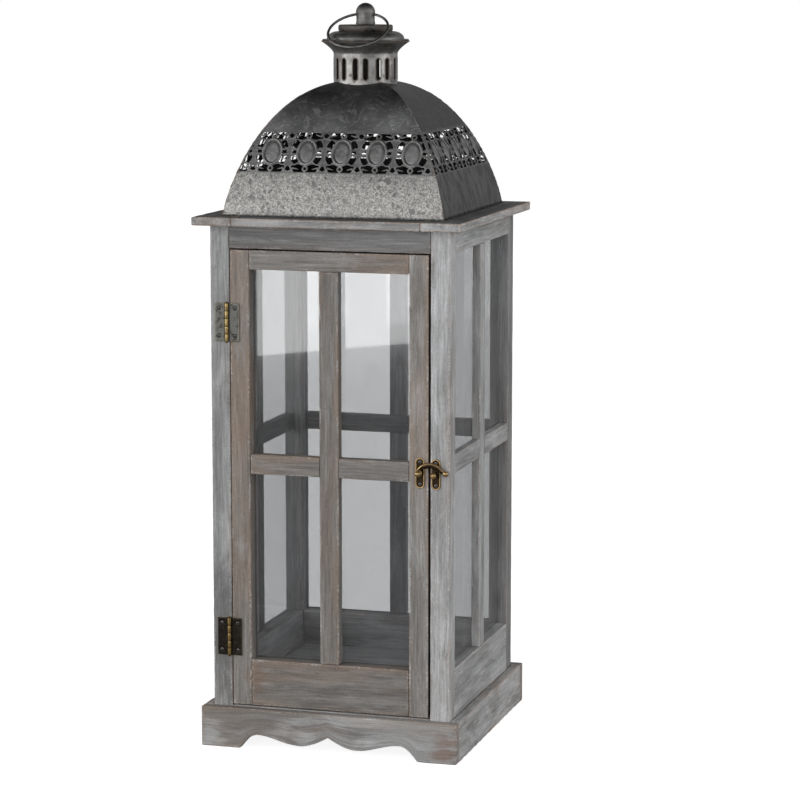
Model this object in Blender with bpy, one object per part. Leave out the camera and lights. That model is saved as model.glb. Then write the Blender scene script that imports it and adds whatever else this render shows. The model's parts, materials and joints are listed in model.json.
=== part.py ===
"""Candle lantern: a timber case with a glazed door, on a scalloped plinth, under a vented sheet-metal roof.

Units are metres and +Z is up. The origin is on the ground at the centre of the plinth. The door faces -Y and
the right-hand side is +X. Every sub-part is one closed body. Three pieces move: the door about its hinge
pins, the swing hook about its pivot stud, and the carrying ring about the cross hole in the finial.
"""

import math

import bmesh
import bpy
from mathutils import Matrix, Vector

# ---- driving dimensions ----------------------------------------------------------------------------------
GAP = 0.0003  # running and seating gap between touching pieces
ARRIS = 0.0006  # width of the eased edge on sawn boards

BODY = 0.230  # case, outside of posts
POST = 0.0185  # square posts
PLINTH = 0.2493  # plinth, outside
PLINTH_H = 0.0383
SLAB = 0.2571  # top frame, outside
SLAB_T = 0.0080
SLAB_TOP = 0.4995
SLAB_BOARD = 0.0385  # width of the four boards of the top frame

OPENING_TOP = 0.4703  # underside of the header and of the three top rails
SILL_TOP = 0.0840  # upper edge of the bottom rails
RAIL_FOOT = 0.0040  # lower edge of the bottom rails, inside the plinth
MUNTIN = 0.0175  # face width of the glazing bars
MUNTIN_T = 0.0080  # depth of the glazing bars
MUNTIN_Z = 0.2765  # height of the side and back cross bars
GLASS = 0.0020
FLOOR_TOP = 0.0500
FLOOR_T = 0.0080

SILL_LOW = 0.0150
SILL_HIGH = 0.0392

DOOR_LEFT = -0.0959
DOOR_RIGHT = 0.0947
DOOR_BOTTOM = 0.0400
DOOR_TOP = 0.4692
DOOR_T = 0.0180
STILE = 0.0185
DOOR_RAIL_TOP = 0.0180
DOOR_MUNTIN = 0.0185
DOOR_MUNTIN_T = 0.0105
DOOR_MUNTIN_Z = 0.2698

# Apron scallop: half-widths where its outline turns, and its heights above the ground.
FOOT_X = 0.0870
CREST_X = 0.0695
LOBE_X = 0.0280
CREST_H = 0.0138
LOBE_H = 0.0062
CUSP_H = 0.0161

# Roof profile: half-width and height at the four control points of one cubic curve, eaves to crown.
ROOF_CURVE = ((0.1054, 0.5020), (0.1036, 0.5186), (0.0785, 0.6130), (0.0180, 0.6204))
ROOF_T = 0.0009
ROOF_STEPS = 22
ROOF_LIP_OUT = 0.0012  # how far the eaves flare past the profile
ROOF_FOOT = SLAB_TOP + GAP
ROOF_HOLE_R = 0.0304
ROOF_HOLE_Z = (0.58, 0.66)  # from below the collar's foot to above the crown

COLLAR_R = 0.0301
COLLAR_FOOT = 0.6125
COLLAR_T = 0.0008
FLARE_Z = 0.6460
RIM_R = 0.0417
RIM_Z = 0.6572
FLARE_POWER = 1.5  # the flare's growth in radius goes as this power of its height
FLARE_STEPS = 6
RIM_TURN = 0.4  # how far the inner side of the flare sits above the outer, as a share of the wall
SLOT_W = 0.0044
SLOT_LOW = 0.6219
SLOT_HIGH = 0.6418
SLOT_PAIRS = 8
SLOT_PAIR_HALF = math.radians(9.4)
SLOT_PAIR_PITCH = math.radians(42.2)
SLOT_FIRST = math.radians(7.5)  # azimuth of the middle of the pair nearest to the front, towards +X

CAP_FOOT = 0.6578
CAP_FLANGE_R = 0.0408
CAP_SHOULDER_R = 0.0365
CAP_NECK_R = 0.0262
CAP_NECK_Z = 0.6665
CAP_TOP_R = 0.0225
CAP_TOP = 0.6726
CAP_T = 0.0008

FINIAL_R = 0.0091
FINIAL_TOP = 0.6930
FINIAL_HOLE_R = 0.0033

RING_R = 0.0283  # to the middle of the wire
RING_WIRE_R = 0.0013
RING_HINGE = Vector((0.0, 0.0, 0.6829))
RING_TILT = math.radians(32.0)  # how far the ring leans below level, towards the door

HINGE_X = -0.0985
HINGE_Y = -0.1172
HINGE_Z = (0.1051, 0.4019)  # middles of the lower and upper hinge
HINGE_H = 0.0358
HINGE_HALF = 0.0118  # pin to outer edge of a leaf
LEAF_T = 0.0009
KNUCKLE_R = 0.0018
KNUCKLES = 5
PIN_R = 0.0008
PIN_BORE_R = 0.0010
PIN_HEAD_R = 0.0014
PIN_HEAD_H = 0.0008
SCREW_HOLE_R = 0.0013
SCREW_INSET_X = 0.0040  # screw hole to outer edge of a leaf
SCREW_INSET_Z = 0.0050

LATCH_PLATE_W = 0.0090
LATCH_PLATE_H = 0.0285
LATCH_PLATE_T = 0.0010
LATCH_HOLE_R = 0.0011
LATCH_HOLE_Z = 0.0104
DOOR_PLATE = (0.0868, 0.2696)
POST_PLATE = (0.1019, 0.2689)
STUD_SHANK_R = 0.0015
STUD_HEAD_R = 0.0031
HOOK_PIVOT = (0.0862, 0.2698)
KEEPER = (0.1008, 0.2687)
HOOK_T = 0.0020
HOOK_EYE_R = 0.0032
HOOK_EYE_BORE_R = 0.0018
HOOK_TIP_R = 0.0028
# Middle line of the swing hook, from its pivot: an arch over the keeper, down to the thumb ball.
HOOK_LINE = (
    (-0.0010, 0.0022), (0.0035, 0.0064), (0.0105, 0.0080),
    (0.0165, 0.0067), (0.0208, 0.0030), (0.0252, 0.0005),
)
HOOK_HALF = 0.0014
BALL_FLAT = 0.8  # the thumb ball's depth as a share of its width
BORE_REACH = 0.01  # how far a drill passes each face of a small fitting

FACE = -BODY / 2  # y of the front face of the case
HALF = BODY / 2
CLEAR = HALF - POST  # half of the clear opening between posts
SLAB_UNDER = SLAB_TOP - SLAB_T
ROUND = 48  # sides of the large turned pieces
SMALL_ROUND = 16  # sides of the small ones

# ---- finishes: colour, roughness, metallic, alpha --------------------------------------------------------
FINISHES = {
    "frame_wood": ((0.30, 0.30, 0.31), 0.75, 0.0, 1.0),
    "door_wood": ((0.27, 0.24, 0.22), 0.75, 0.0, 1.0),
    "plinth_wood": ((0.30, 0.29, 0.28), 0.78, 0.0, 1.0),
    "roof_sheet": ((0.33, 0.34, 0.35), 0.45, 0.85, 1.0),
    "vent_metal": ((0.16, 0.155, 0.15), 0.40, 0.90, 1.0),
    "glass": ((0.85, 0.88, 0.88), 0.05, 0.0, 0.25),
    "hinge_brass": ((0.22, 0.17, 0.09), 0.35, 0.90, 1.0),
    "latch_brass": ((0.42, 0.29, 0.11), 0.30, 0.95, 1.0),
}


def clear_scene():
    """Removes every object, and the meshes and materials that nothing uses afterwards."""
    for item in list(bpy.data.objects):
        bpy.data.objects.remove(item, do_unlink=True)
    for block in (bpy.data.meshes, bpy.data.materials):
        for item in list(block):
            if item.users == 0:
                block.remove(item)


def make_finishes():
    """One Principled material for each finish."""
    made = {}
    for name, (colour, roughness, metallic, alpha) in FINISHES.items():
        finish = bpy.data.materials.new(name)
        finish.use_nodes = True
        shader = finish.node_tree.nodes["Principled BSDF"]
        shader.inputs["Base Color"].default_value = (*colour, 1.0)
        shader.inputs["Roughness"].default_value = roughness
        shader.inputs["Metallic"].default_value = metallic
        shader.inputs["Alpha"].default_value = alpha
        made[name] = finish
    return made


def add(name, mesh_data, finish, at=(0.0, 0.0, 0.0), parent=None):
    """Links a bmesh as a named object with its origin at a world point, under a parent empty if given one."""
    bmesh.ops.recalc_face_normals(mesh_data, faces=mesh_data.faces)
    mesh = bpy.data.meshes.new(name)
    mesh_data.to_mesh(mesh)
    mesh_data.free()
    mesh.materials.append(MATERIALS[finish])
    item = bpy.data.objects.new(name, mesh)
    bpy.context.scene.collection.objects.link(item)
    item.location = Vector(at)
    if parent is not None:
        item.parent = parent
        item.location = Vector(at) - parent.location
    return item


def pivot_empty(name, at):
    """An empty on a joint's axis, for the pieces that turn about it."""
    empty = bpy.data.objects.new(name, None)
    empty.empty_display_size = 0.02
    empty.location = Vector(at)
    bpy.context.scene.collection.objects.link(empty)
    return empty


def smooth(item, angle=35.0):
    """Smooth shading that stays crisp at edges sharper than the angle in degrees."""
    item.data.shade_smooth()
    item.data.set_sharp_from_angle(angle=math.radians(angle))
    return item


def hidden_cutter(name, mesh_data, at=(0.0, 0.0, 0.0)):
    """A mesh kept out of the build, for Boolean modifiers to read."""
    cutter = add(name, mesh_data, "frame_wood", at)
    cutter.hide_render = True
    cutter.display_type = "WIRE"
    return cutter


def boolean(item, tool, operation):
    """An EXACT Boolean modifier on an object."""
    step = item.modifiers.new(operation.title(), "BOOLEAN")
    step.operation = operation
    step.solver = "EXACT"
    step.object = tool


def box_mesh(size):
    """A bmesh box of the given size about the origin."""
    made = bmesh.new()
    bmesh.ops.create_cube(made, size=1.0, matrix=Matrix.Diagonal((*size, 1.0)))
    return made


def board(name, low, high, finish, parent=None):
    """A sawn board between two world corners, with its edges eased."""
    low, high = Vector(low), Vector(high)
    item = add(name, box_mesh(high - low), finish, (low + high) / 2, parent)
    ease(item)
    return item


def ease(item, width=ARRIS):
    """A one-step Bevel on every edge that turns more than 30 degrees."""
    step = item.modifiers.new("Arris", "BEVEL")
    step.width = width
    step.segments = 1
    step.limit_method = "ANGLE"
    step.angle_limit = math.radians(30.0)


def extruded(outline, axis, low, high):
    """A bmesh prism: a closed outline of 2-D points, carried from low to high along axis 0, 1 or 2.

    The outline's two numbers are the other two world coordinates in X, Y, Z order.
    """
    made = bmesh.new()
    others = [index for index in range(3) if index != axis]
    ring = []
    for point in outline:
        place = [0.0, 0.0, 0.0]
        place[axis] = low
        place[others[0]], place[others[1]] = point
        ring.append(made.verts.new(place))
    face = made.faces.new(ring)
    result = bmesh.ops.extrude_face_region(made, geom=[face])
    moved = [element for element in result["geom"] if isinstance(element, bmesh.types.BMVert)]
    shift = [0.0, 0.0, 0.0]
    shift[axis] = high - low
    bmesh.ops.translate(made, verts=moved, vec=shift)
    return made


def turned(profile, sides, axis="Z"):
    """A bmesh turned solid: a closed profile of (radius, height) carried round an axis.

    Points on the axis become single vertices, so that the surface closes there.
    """
    made = bmesh.new()
    rings = []
    for radius, height in profile:
        if radius < 1e-6:
            rings.append([made.verts.new((0.0, 0.0, height))] * sides)
            continue
        angles = [2 * math.pi * step / sides for step in range(sides)]
        rings.append([made.verts.new((radius * math.cos(a), radius * math.sin(a), height)) for a in angles])
    for ring, after in zip(rings, rings[1:] + rings[:1]):
        for step in range(sides):
            following = (step + 1) % sides
            corners = []
            for corner in (ring[step], ring[following], after[following], after[step]):
                if corner not in corners:
                    corners.append(corner)
            if len(corners) > 2:
                made.faces.new(corners)
    if axis == "Y":
        bmesh.ops.rotate(made, verts=made.verts, matrix=Matrix.Rotation(math.radians(90.0), 3, "X"))
    if axis == "X":
        bmesh.ops.rotate(made, verts=made.verts, matrix=Matrix.Rotation(math.radians(90.0), 3, "Y"))
    return made


def rod(radius, low, high, axis="Z", sides=SMALL_ROUND):
    """A bmesh cylinder on an axis through the origin, from low to high along it."""
    return turned(((0.0, low), (radius, low), (radius, high), (0.0, high)), sides, axis)


def joined(*parts):
    """One bmesh holding several, each given with the place to move it to."""
    whole = bmesh.new()
    for part, at in parts:
        bmesh.ops.translate(part, verts=part.verts, vec=at)
        mesh = bpy.data.meshes.new("join")
        part.to_mesh(mesh)
        part.free()
        whole.from_mesh(mesh)
        bpy.data.meshes.remove(mesh)
    bmesh.ops.recalc_face_normals(whole, faces=whole.faces)
    return whole


def arc(centre, radius, start, end, steps):
    """Points on an arc, angles in degrees, both ends included."""
    turns = [math.radians(start + (end - start) * step / steps) for step in range(steps + 1)]
    return [(centre[0] + radius * math.cos(t), centre[1] + radius * math.sin(t)) for t in turns]


# ---- timber case -----------------------------------------------------------------------------------------
def scallop():
    """The lower outline of a scalloped apron, left to right: two feet, two lobes and a middle cusp."""
    steps = 6
    right = []
    for step in range(steps + 1):  # cusp down to the bottom of the lobe: quarter of a cosine
        part = step / steps
        right.append((LOBE_X * part, LOBE_H + (CUSP_H - LOBE_H) * (1 - math.sin(part * math.pi / 2))))
    for step in range(1, steps + 1):  # lobe up to the crest: half a cosine
        part = step / steps
        height = LOBE_H + (CREST_H - LOBE_H) * (1 - math.cos(part * math.pi)) / 2
        right.append((LOBE_X + (CREST_X - LOBE_X) * part, height))
    for step in range(1, steps + 1):  # crest down to the foot: quarter of a cosine
        part = step / steps
        right.append((CREST_X + (FOOT_X - CREST_X) * part, CREST_H * math.cos(part * math.pi / 2)))
    left = [(-x, z) for x, z in reversed(right[1:])]
    return left + right


def plinth():
    """Four boards round the foot of the case: scalloped at the front and back, straight at the sides."""
    edge = PLINTH / 2
    inner = HALF + GAP
    outline = [(-edge, 0.0)] + scallop() + [(edge, 0.0), (edge, PLINTH_H), (-edge, PLINTH_H)]
    for name, low, high in (("plinth_front", -edge, -inner), ("plinth_back", inner, edge)):
        ease(add(name, extruded(outline, 1, low, high), "plinth_wood"), ARRIS / 2)
    reach = inner - GAP
    board("plinth_left", (-edge, -reach, 0.0), (-inner, reach, PLINTH_H), "plinth_wood")
    board("plinth_right", (inner, -reach, 0.0), (edge, reach, PLINTH_H), "plinth_wood")


def posts_and_floor():
    """Four corner posts, the floor board that carries the candle, and the sill and header of the doorway."""
    for depth, y in (("front", -1), ("back", 1)):
        for side, x in (("left", -1), ("right", 1)):
            near = (min(x * CLEAR, x * HALF), min(y * CLEAR, y * HALF), 0.0)
            far = (max(x * CLEAR, x * HALF), max(y * CLEAR, y * HALF), SLAB_UNDER - GAP)
            board(f"post_{depth}_{side}", near, far, "frame_wood")
    reach = CLEAR - GAP
    board("floor_board", (-reach, -reach, FLOOR_TOP - FLOOR_T), (reach, reach, FLOOR_TOP), "frame_wood")
    board("header_front", (-reach, -HALF, OPENING_TOP), (reach, -CLEAR, SLAB_UNDER - GAP), "frame_wood")
    board("sill_front", (-reach, -HALF, SILL_LOW), (reach, -CLEAR, SILL_HIGH), "frame_wood")


def half_lapped(length, width, depth, notch_at, notch, from_front):
    """A bmesh glazing bar along +X, centred in width, its front at y = 0, with a half-depth notch.

    The outline lies in the X-Y plane. The notch takes the crossing bar and is cut from the front or back.
    """
    half = depth / 2
    low, high = notch_at - notch / 2 - GAP, notch_at + notch / 2 + GAP
    if from_front:
        floor = half + GAP / 2
        front = [(0.0, 0.0), (low, 0.0), (low, floor), (high, floor), (high, 0.0), (length, 0.0)]
        outline = front + [(length, depth), (0.0, depth)]
    else:
        floor = half - GAP / 2
        back = [(length, depth), (high, depth), (high, floor), (low, floor), (low, depth), (0.0, depth)]
        outline = [(0.0, 0.0), (length, 0.0)] + back
    return extruded(outline, 2, -width / 2, width / 2)


def cross_bars(prefix, finish, span, rise, cross_z, width, depth, front, parent=None, quarter_turns=0):
    """The upright and level glazing bars of one window, half-lapped where they cross.

    They are made for a window that faces -Y, then turned about Z in quarter turns.
    """
    left, right = span
    bottom, top = rise
    middle = (left + right) / 2
    turn = Matrix.Rotation(quarter_turns * math.pi / 2, 3, "Z")
    level = half_lapped(right - left - 2 * GAP, width, depth, middle - left - GAP, width, True)
    upright = half_lapped(top - bottom - 2 * GAP, width, depth, cross_z - bottom - GAP, width, False)
    # Stood up about Y: the bar's length, which was along +X, now rises along +Z.
    bmesh.ops.rotate(upright, verts=upright.verts, matrix=Matrix.Rotation(-math.pi / 2, 3, "Y"))
    for name, made, at in (
        (f"{prefix}_muntin_level", level, Vector((left + GAP, front, cross_z))),
        (f"{prefix}_muntin_upright", upright, Vector((middle, front, bottom + GAP))),
    ):
        bmesh.ops.rotate(made, verts=made.verts, matrix=turn)
        ease(add(name, made, finish, turn @ at, parent), ARRIS / 2)


def window_walls():
    """The left, right and back walls: two rails, crossed glazing bars and a pane in each."""
    reach = CLEAR - GAP
    pane = -HALF + MUNTIN_T + GAP
    for name, quarter_turns in (("right", 1), ("back", 2), ("left", 3)):
        turn = Matrix.Rotation(quarter_turns * math.pi / 2, 3, "Z")
        for piece, low_z, high_z, front, back, finish in (
            ("top_rail", OPENING_TOP, SLAB_UNDER - GAP, -HALF, -CLEAR, "frame_wood"),
            ("bottom_rail", RAIL_FOOT, SILL_TOP, -HALF, -CLEAR - GAP, "frame_wood"),
            ("glass", SILL_TOP + GAP, OPENING_TOP - GAP, pane, pane + GLASS, "glass"),
        ):
            one = turn @ Vector((-reach, front, low_z))
            two = turn @ Vector((reach, back, high_z))
            low = [min(a, b) for a, b in zip(one, two)]
            high = [max(a, b) for a, b in zip(one, two)]
            board(f"{name}_{piece}", low, high, finish)
        rise = (SILL_TOP, OPENING_TOP)
        span = (-CLEAR, CLEAR)
        cross_bars(name, "frame_wood", span, rise, MUNTIN_Z, MUNTIN, MUNTIN_T, -HALF, None, quarter_turns)


def top_frame():
    """Four flat boards over the posts: the side boards run the full depth, the other two fit between them."""
    edge = SLAB / 2
    inner = edge - SLAB_BOARD
    for name, x in (("left", -1), ("right", 1)):
        low, high = min(x * edge, x * inner), max(x * edge, x * inner)
        board(f"slab_{name}", (low, -edge, SLAB_UNDER), (high, edge, SLAB_TOP), "frame_wood")
    reach = inner - GAP
    board("slab_front", (-reach, -edge, SLAB_UNDER), (reach, -inner, SLAB_TOP), "frame_wood")
    board("slab_back", (-reach, inner, SLAB_UNDER), (reach, edge, SLAB_TOP), "frame_wood")


# ---- door ------------------------------------------------------------------------------------------------
def door(hinge):
    """Stiles, rails, crossed bars and pane of the door, all under the empty on the hinge axis."""
    back = FACE + DOOR_T
    inner_left, inner_right = DOOR_LEFT + STILE, DOOR_RIGHT - STILE
    rail_low, rail_high = inner_left + GAP, inner_right - GAP
    for name, low_x, high_x in (("left", DOOR_LEFT, inner_left), ("right", inner_right, DOOR_RIGHT)):
        board(f"door_stile_{name}", (low_x, FACE, DOOR_BOTTOM), (high_x, back, DOOR_TOP), "door_wood", hinge)
    top_low = DOOR_TOP - DOOR_RAIL_TOP
    board("door_rail_top", (rail_low, FACE, top_low), (rail_high, back, DOOR_TOP), "door_wood", hinge)
    board("door_rail_bottom", (rail_low, FACE, DOOR_BOTTOM), (rail_high, back, SILL_TOP), "door_wood", hinge)
    span, rise = (inner_left, inner_right), (SILL_TOP, top_low)
    cross_bars("door", "door_wood", span, rise, DOOR_MUNTIN_Z, DOOR_MUNTIN, DOOR_MUNTIN_T, FACE, hinge)
    pane = FACE + DOOR_MUNTIN_T + GAP
    low, high = (rail_low, pane, SILL_TOP + GAP), (rail_high, pane + GLASS, top_low - GAP)
    board("door_glass", low, high, "glass", hinge)


def hinge_leaf(name, z, side, finish, parent):
    """One leaf of a butt hinge: a flat plate, its share of the knuckles, the pin's bore and two screw holes.

    Side is -1 for the post's leaf, which has knuckles 1, 3 and 5, and +1 for the door's, which has 2 and 4.
    """
    step = HINGE_H / KNUCKLES
    own = range(0, KNUCKLES, 2) if side < 0 else range(1, KNUCKLES, 2)
    outline = [(HINGE_HALF, 0.0), (HINGE_HALF, HINGE_H)]
    for index in reversed(range(KNUCKLES)):
        inner = 0.6 * KNUCKLE_R if index in own else KNUCKLE_R + GAP
        trim = GAP / 2 if index in own else -GAP / 2
        top = (index + 1) * step - (trim if index < KNUCKLES - 1 else 0.0)
        bottom = index * step + (trim if index > 0 else 0.0)
        outline += [(inner, top), (inner, bottom)]
    outline = [(side * x, height - HINGE_H / 2) for x, height in outline]
    plate_back = FACE - GAP - HINGE_Y
    at = (HINGE_X, HINGE_Y, z)
    leaf = add(name, extruded(outline, 1, plate_back - LEAF_T, plate_back), finish, at, parent)
    knuckles = []
    for index in own:
        low = index * step + (GAP / 2 if index > 0 else 0.0) - HINGE_H / 2
        high = (index + 1) * step - (GAP / 2 if index < KNUCKLES - 1 else 0.0) - HINGE_H / 2
        knuckles.append((rod(KNUCKLE_R, low, high), (0.0, 0.0, 0.0)))
    boolean(leaf, hidden_cutter(f"{name}_knuckles", joined(*knuckles), at), "UNION")
    holes = [(rod(PIN_BORE_R, -HINGE_H, HINGE_H), (0.0, 0.0, 0.0))]
    for end in (-1, 1):
        place = (side * (HINGE_HALF - SCREW_INSET_X), 0.0, end * (HINGE_H / 2 - SCREW_INSET_Z))
        holes.append((rod(SCREW_HOLE_R, -BORE_REACH, BORE_REACH, "Y"), place))
    boolean(leaf, hidden_cutter(f"{name}_holes", joined(*holes), at), "DIFFERENCE")
    return leaf


def hinges(door_hinge):
    """Two butt hinges on the front faces of the left post and of the door, each with its loose pin."""
    for label, z in zip(("lower", "upper"), HINGE_Z):
        hinge_leaf(f"hinge_{label}_post_leaf", z, -1, "hinge_brass", None)
        hinge_leaf(f"hinge_{label}_door_leaf", z, 1, "hinge_brass", door_hinge)
        end = HINGE_H / 2 + GAP
        head = end + PIN_HEAD_H
        profile = ((0.0, -head), (PIN_HEAD_R, -head), (PIN_HEAD_R, -end), (PIN_R, -end), (PIN_R, end))
        profile += ((PIN_HEAD_R, end), (PIN_HEAD_R, head), (0.0, head))
        pin = turned(profile, SMALL_ROUND)
        smooth(add(f"hinge_{label}_pin", pin, "hinge_brass", (HINGE_X, HINGE_Y, z)))


# ---- latch -----------------------------------------------------------------------------------------------
def latch_plate(name, centre, parent):
    """A round-ended plate with two pin holes."""
    radius = LATCH_PLATE_W / 2
    straight = LATCH_PLATE_H / 2 - radius
    outline = arc((0.0, straight), radius, 0.0, 180.0, 10) + arc((0.0, -straight), radius, 180.0, 360.0, 10)
    at = (centre[0], FACE - GAP, centre[1])
    plate = add(name, extruded(outline, 1, -LATCH_PLATE_T, 0.0), "latch_brass", at, parent)
    places = [(0.0, 0.0, end * LATCH_HOLE_Z) for end in (-1, 1)]
    holes = [(rod(LATCH_HOLE_R, -BORE_REACH, BORE_REACH, "Y"), place) for place in places]
    boolean(plate, hidden_cutter(f"{name}_holes", joined(*holes), at), "DIFFERENCE")


def stud(name, place, neck, parent):
    """A turned stud standing on its plate: a shank, then a rounded head. Neck is the shank's length."""
    foot = GAP
    dome = arc((0.0, foot + neck + STUD_HEAD_R * 0.6), STUD_HEAD_R, -35.0, 90.0, 8)
    profile = [(0.0, foot), (STUD_SHANK_R, foot), (STUD_SHANK_R, foot + neck)]
    profile += dome[:-1] + [(0.0, dome[-1][1])]
    front = FACE - GAP - LATCH_PLATE_T
    smooth(add(name, turned(profile, 20, "Y"), "latch_brass", (place[0], front, place[1]), parent))


def hook_outline():
    """The swing hook's outline about its pivot: both sides of the arched middle line, from eye to ball."""
    upper, lower = [], []
    points = [Vector(point) for point in HOOK_LINE]
    for index, point in enumerate(points):
        ahead = points[min(index + 1, len(points) - 1)] - points[max(index - 1, 0)]
        normal = Vector((-ahead.y, ahead.x)).normalized() * HOOK_HALF
        upper.append(tuple(point + normal))
        lower.append(tuple(point - normal))
    return upper + lower[::-1]


def latch(door_hinge):
    """Swing hook latch: plate, pivot stud and hook on the door, plate and keeper stud on the post."""
    latch_plate("latch_door_plate", DOOR_PLATE, door_hinge)
    latch_plate("latch_post_plate", POST_PLATE, None)
    stud("latch_pivot_stud", HOOK_PIVOT, HOOK_T + 2 * GAP, door_hinge)
    stud("latch_keeper_stud", KEEPER, HOOK_T, None)
    middle = FACE - LATCH_PLATE_T - 3 * GAP - HOOK_T / 2
    pivot = pivot_empty("latch_pivot", (HOOK_PIVOT[0], middle, HOOK_PIVOT[1]))
    pivot.parent = door_hinge
    pivot.location = pivot.location - door_hinge.location
    half = HOOK_T / 2
    hook = add("latch_hook", extruded(hook_outline(), 1, -half, half), "latch_brass")
    hook.parent = pivot
    world = (HOOK_PIVOT[0], middle, HOOK_PIVOT[1])
    eye = rod(HOOK_EYE_R, -half, half, "Y", 24)
    ball = bmesh.new()
    bmesh.ops.create_uvsphere(ball, u_segments=16, v_segments=10, radius=HOOK_TIP_R)
    tip = (HOOK_LINE[-1][0], 0.0, HOOK_LINE[-1][1])
    # A little flattened, the ball still stands proud of both faces of the hook.
    bmesh.ops.scale(ball, verts=ball.verts, vec=(1.0, BALL_FLAT, 1.0))
    boolean(hook, hidden_cutter("latch_hook_eye", eye, world), "UNION")
    boolean(hook, hidden_cutter("latch_hook_ball", joined((ball, tip)), world), "UNION")
    bore = rod(HOOK_EYE_BORE_R, -BORE_REACH, BORE_REACH, "Y")
    boolean(hook, hidden_cutter("latch_hook_bore", bore, world), "DIFFERENCE")


# ---- roof ------------------------------------------------------------------------------------------------
def roof_profile(steps=ROOF_STEPS):
    """Half-width, height and inward unit normal at points down one roof panel, crown to eaves."""
    p0, p1, p2, p3 = (Vector(point) for point in ROOF_CURVE)
    found = []
    for step in range(steps + 1):
        t = 1 - step / steps
        point = (1 - t) ** 3 * p0 + 3 * (1 - t) ** 2 * t * p1 + 3 * (1 - t) * t * t * p2 + t**3 * p3
        slope = (1 - t) ** 2 * (p1 - p0) + 2 * (1 - t) * t * (p2 - p1) + t * t * (p3 - p2)
        inward = Vector((-slope.y, slope.x)).normalized()
        found.append((point, inward))
    return found


def roof_panel(name, quarter_turns):
    """One curved sheet of the roof, mitred to its neighbours along the hips and open round the collar.

    The sheet faces -Y before it is turned: each profile point gives a line across the panel as wide as the
    profile is deep there, outside and inside the sheet.
    """
    made = bmesh.new()
    rows = []
    points = roof_profile()
    foot_point = Vector((ROOF_CURVE[0][0] + ROOF_LIP_OUT, ROOF_FOOT))
    points.append((foot_point, points[-1][1]))
    for point, inward in points:
        inner = point + inward * ROOF_T
        if point is foot_point:
            inner = point + Vector((-ROOF_T, 0.0))
        row = []
        for half, height in (point, inner):
            edge = half - GAP * 0.7
            row.append([made.verts.new((side * edge, -half, height)) for side in (-1, 1)])
        rows.append(row)
    for (outer, inner), (outer_next, inner_next) in zip(rows, rows[1:]):
        made.faces.new((outer[0], outer_next[0], outer_next[1], outer[1]))
        made.faces.new((inner[0], inner[1], inner_next[1], inner_next[0]))
        made.faces.new((outer[0], inner[0], inner_next[0], outer_next[0]))
        made.faces.new((outer[1], outer_next[1], inner_next[1], inner[1]))
    for outer, inner in (rows[0], rows[-1]):
        made.faces.new((outer[0], outer[1], inner[1], inner[0]))
    bmesh.ops.rotate(made, verts=made.verts, matrix=Matrix.Rotation(quarter_turns * math.pi / 2, 3, "Z"))
    panel = add(name, made, "roof_sheet")
    boolean(panel, ROOF_CUTTER, "DIFFERENCE")
    return smooth(panel)


def collar():
    """The vented collar: a sheet tube with pairs of tall slots, flaring out to a thin rim."""
    outer = [(COLLAR_R, COLLAR_FOOT)]
    for step in range(FLARE_STEPS + 1):
        part = step / FLARE_STEPS
        outer.append((COLLAR_R + (RIM_R - COLLAR_R) * part**FLARE_POWER, FLARE_Z + (RIM_Z - FLARE_Z) * part))
    lift = RIM_TURN * COLLAR_T
    inner = [(radius - COLLAR_T, height + lift * (height > FLARE_Z)) for radius, height in reversed(outer)]
    made = turned(outer + inner, ROUND)
    item = add("vent_collar", made, "vent_metal")
    slots = []
    radius = SLOT_W / 2
    shape = arc((0.0, SLOT_HIGH - radius), radius, 0.0, 180.0, 6)
    shape += arc((0.0, SLOT_LOW + radius), radius, 180.0, 360.0, 6)
    for pair in range(SLOT_PAIRS):
        for side in (-1, 1):
            azimuth = SLOT_FIRST + (pair - SLOT_PAIRS // 2 + 1) * SLOT_PAIR_PITCH + side * SLOT_PAIR_HALF
            slot = extruded(shape, 1, -COLLAR_R - SLOT_W, -COLLAR_R + SLOT_W)
            bmesh.ops.rotate(slot, verts=slot.verts, matrix=Matrix.Rotation(azimuth, 3, "Z"))
            slots.append((slot, (0.0, 0.0, 0.0)))
    boolean(item, hidden_cutter("vent_collar_slots", joined(*slots)), "DIFFERENCE")
    smooth(item)


def cap():
    """The spun lid on the collar: a flange, a rounded shoulder, a groove and a low upper tier."""
    shoulder_rise = CAP_NECK_Z - CAP_FOOT - CAP_T
    outer = [(CAP_FLANGE_R, CAP_FOOT), (CAP_FLANGE_R, CAP_FOOT + CAP_T)]
    for step in range(7):  # a quarter ellipse from the flange in to the groove
        turn = step / 6 * math.pi / 2
        radius = CAP_NECK_R + (CAP_SHOULDER_R - CAP_NECK_R) * math.cos(turn)
        outer.append((radius, CAP_FOOT + CAP_T + shoulder_rise * math.sin(turn)))
    tier = CAP_TOP - CAP_NECK_Z
    # The tier leans in by three quarters of the wall, then by two walls, on its way up.
    outer.append((CAP_NECK_R - 0.75 * CAP_T, CAP_NECK_Z + 0.35 * tier))
    outer.append((CAP_NECK_R - 2 * CAP_T, CAP_TOP - 0.25 * tier))
    outer += [(CAP_TOP_R, CAP_TOP), (0.0, CAP_TOP)]
    # The hollow keeps at least one wall from the outside all the way down.
    inner = [(0.0, CAP_TOP - CAP_T), (CAP_TOP_R - CAP_T, CAP_TOP - CAP_T)]
    inner += [(CAP_NECK_R - 3.75 * CAP_T, CAP_NECK_Z), (CAP_NECK_R, CAP_NECK_Z - 1.75 * CAP_T)]
    inner.append((CAP_SHOULDER_R - 2.75 * CAP_T, CAP_FOOT + 3.75 * CAP_T))
    inner.append((CAP_SHOULDER_R - 1.25 * CAP_T, CAP_FOOT))
    smooth(add("vent_cap", turned(outer + inner, ROUND), "vent_metal"))


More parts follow.
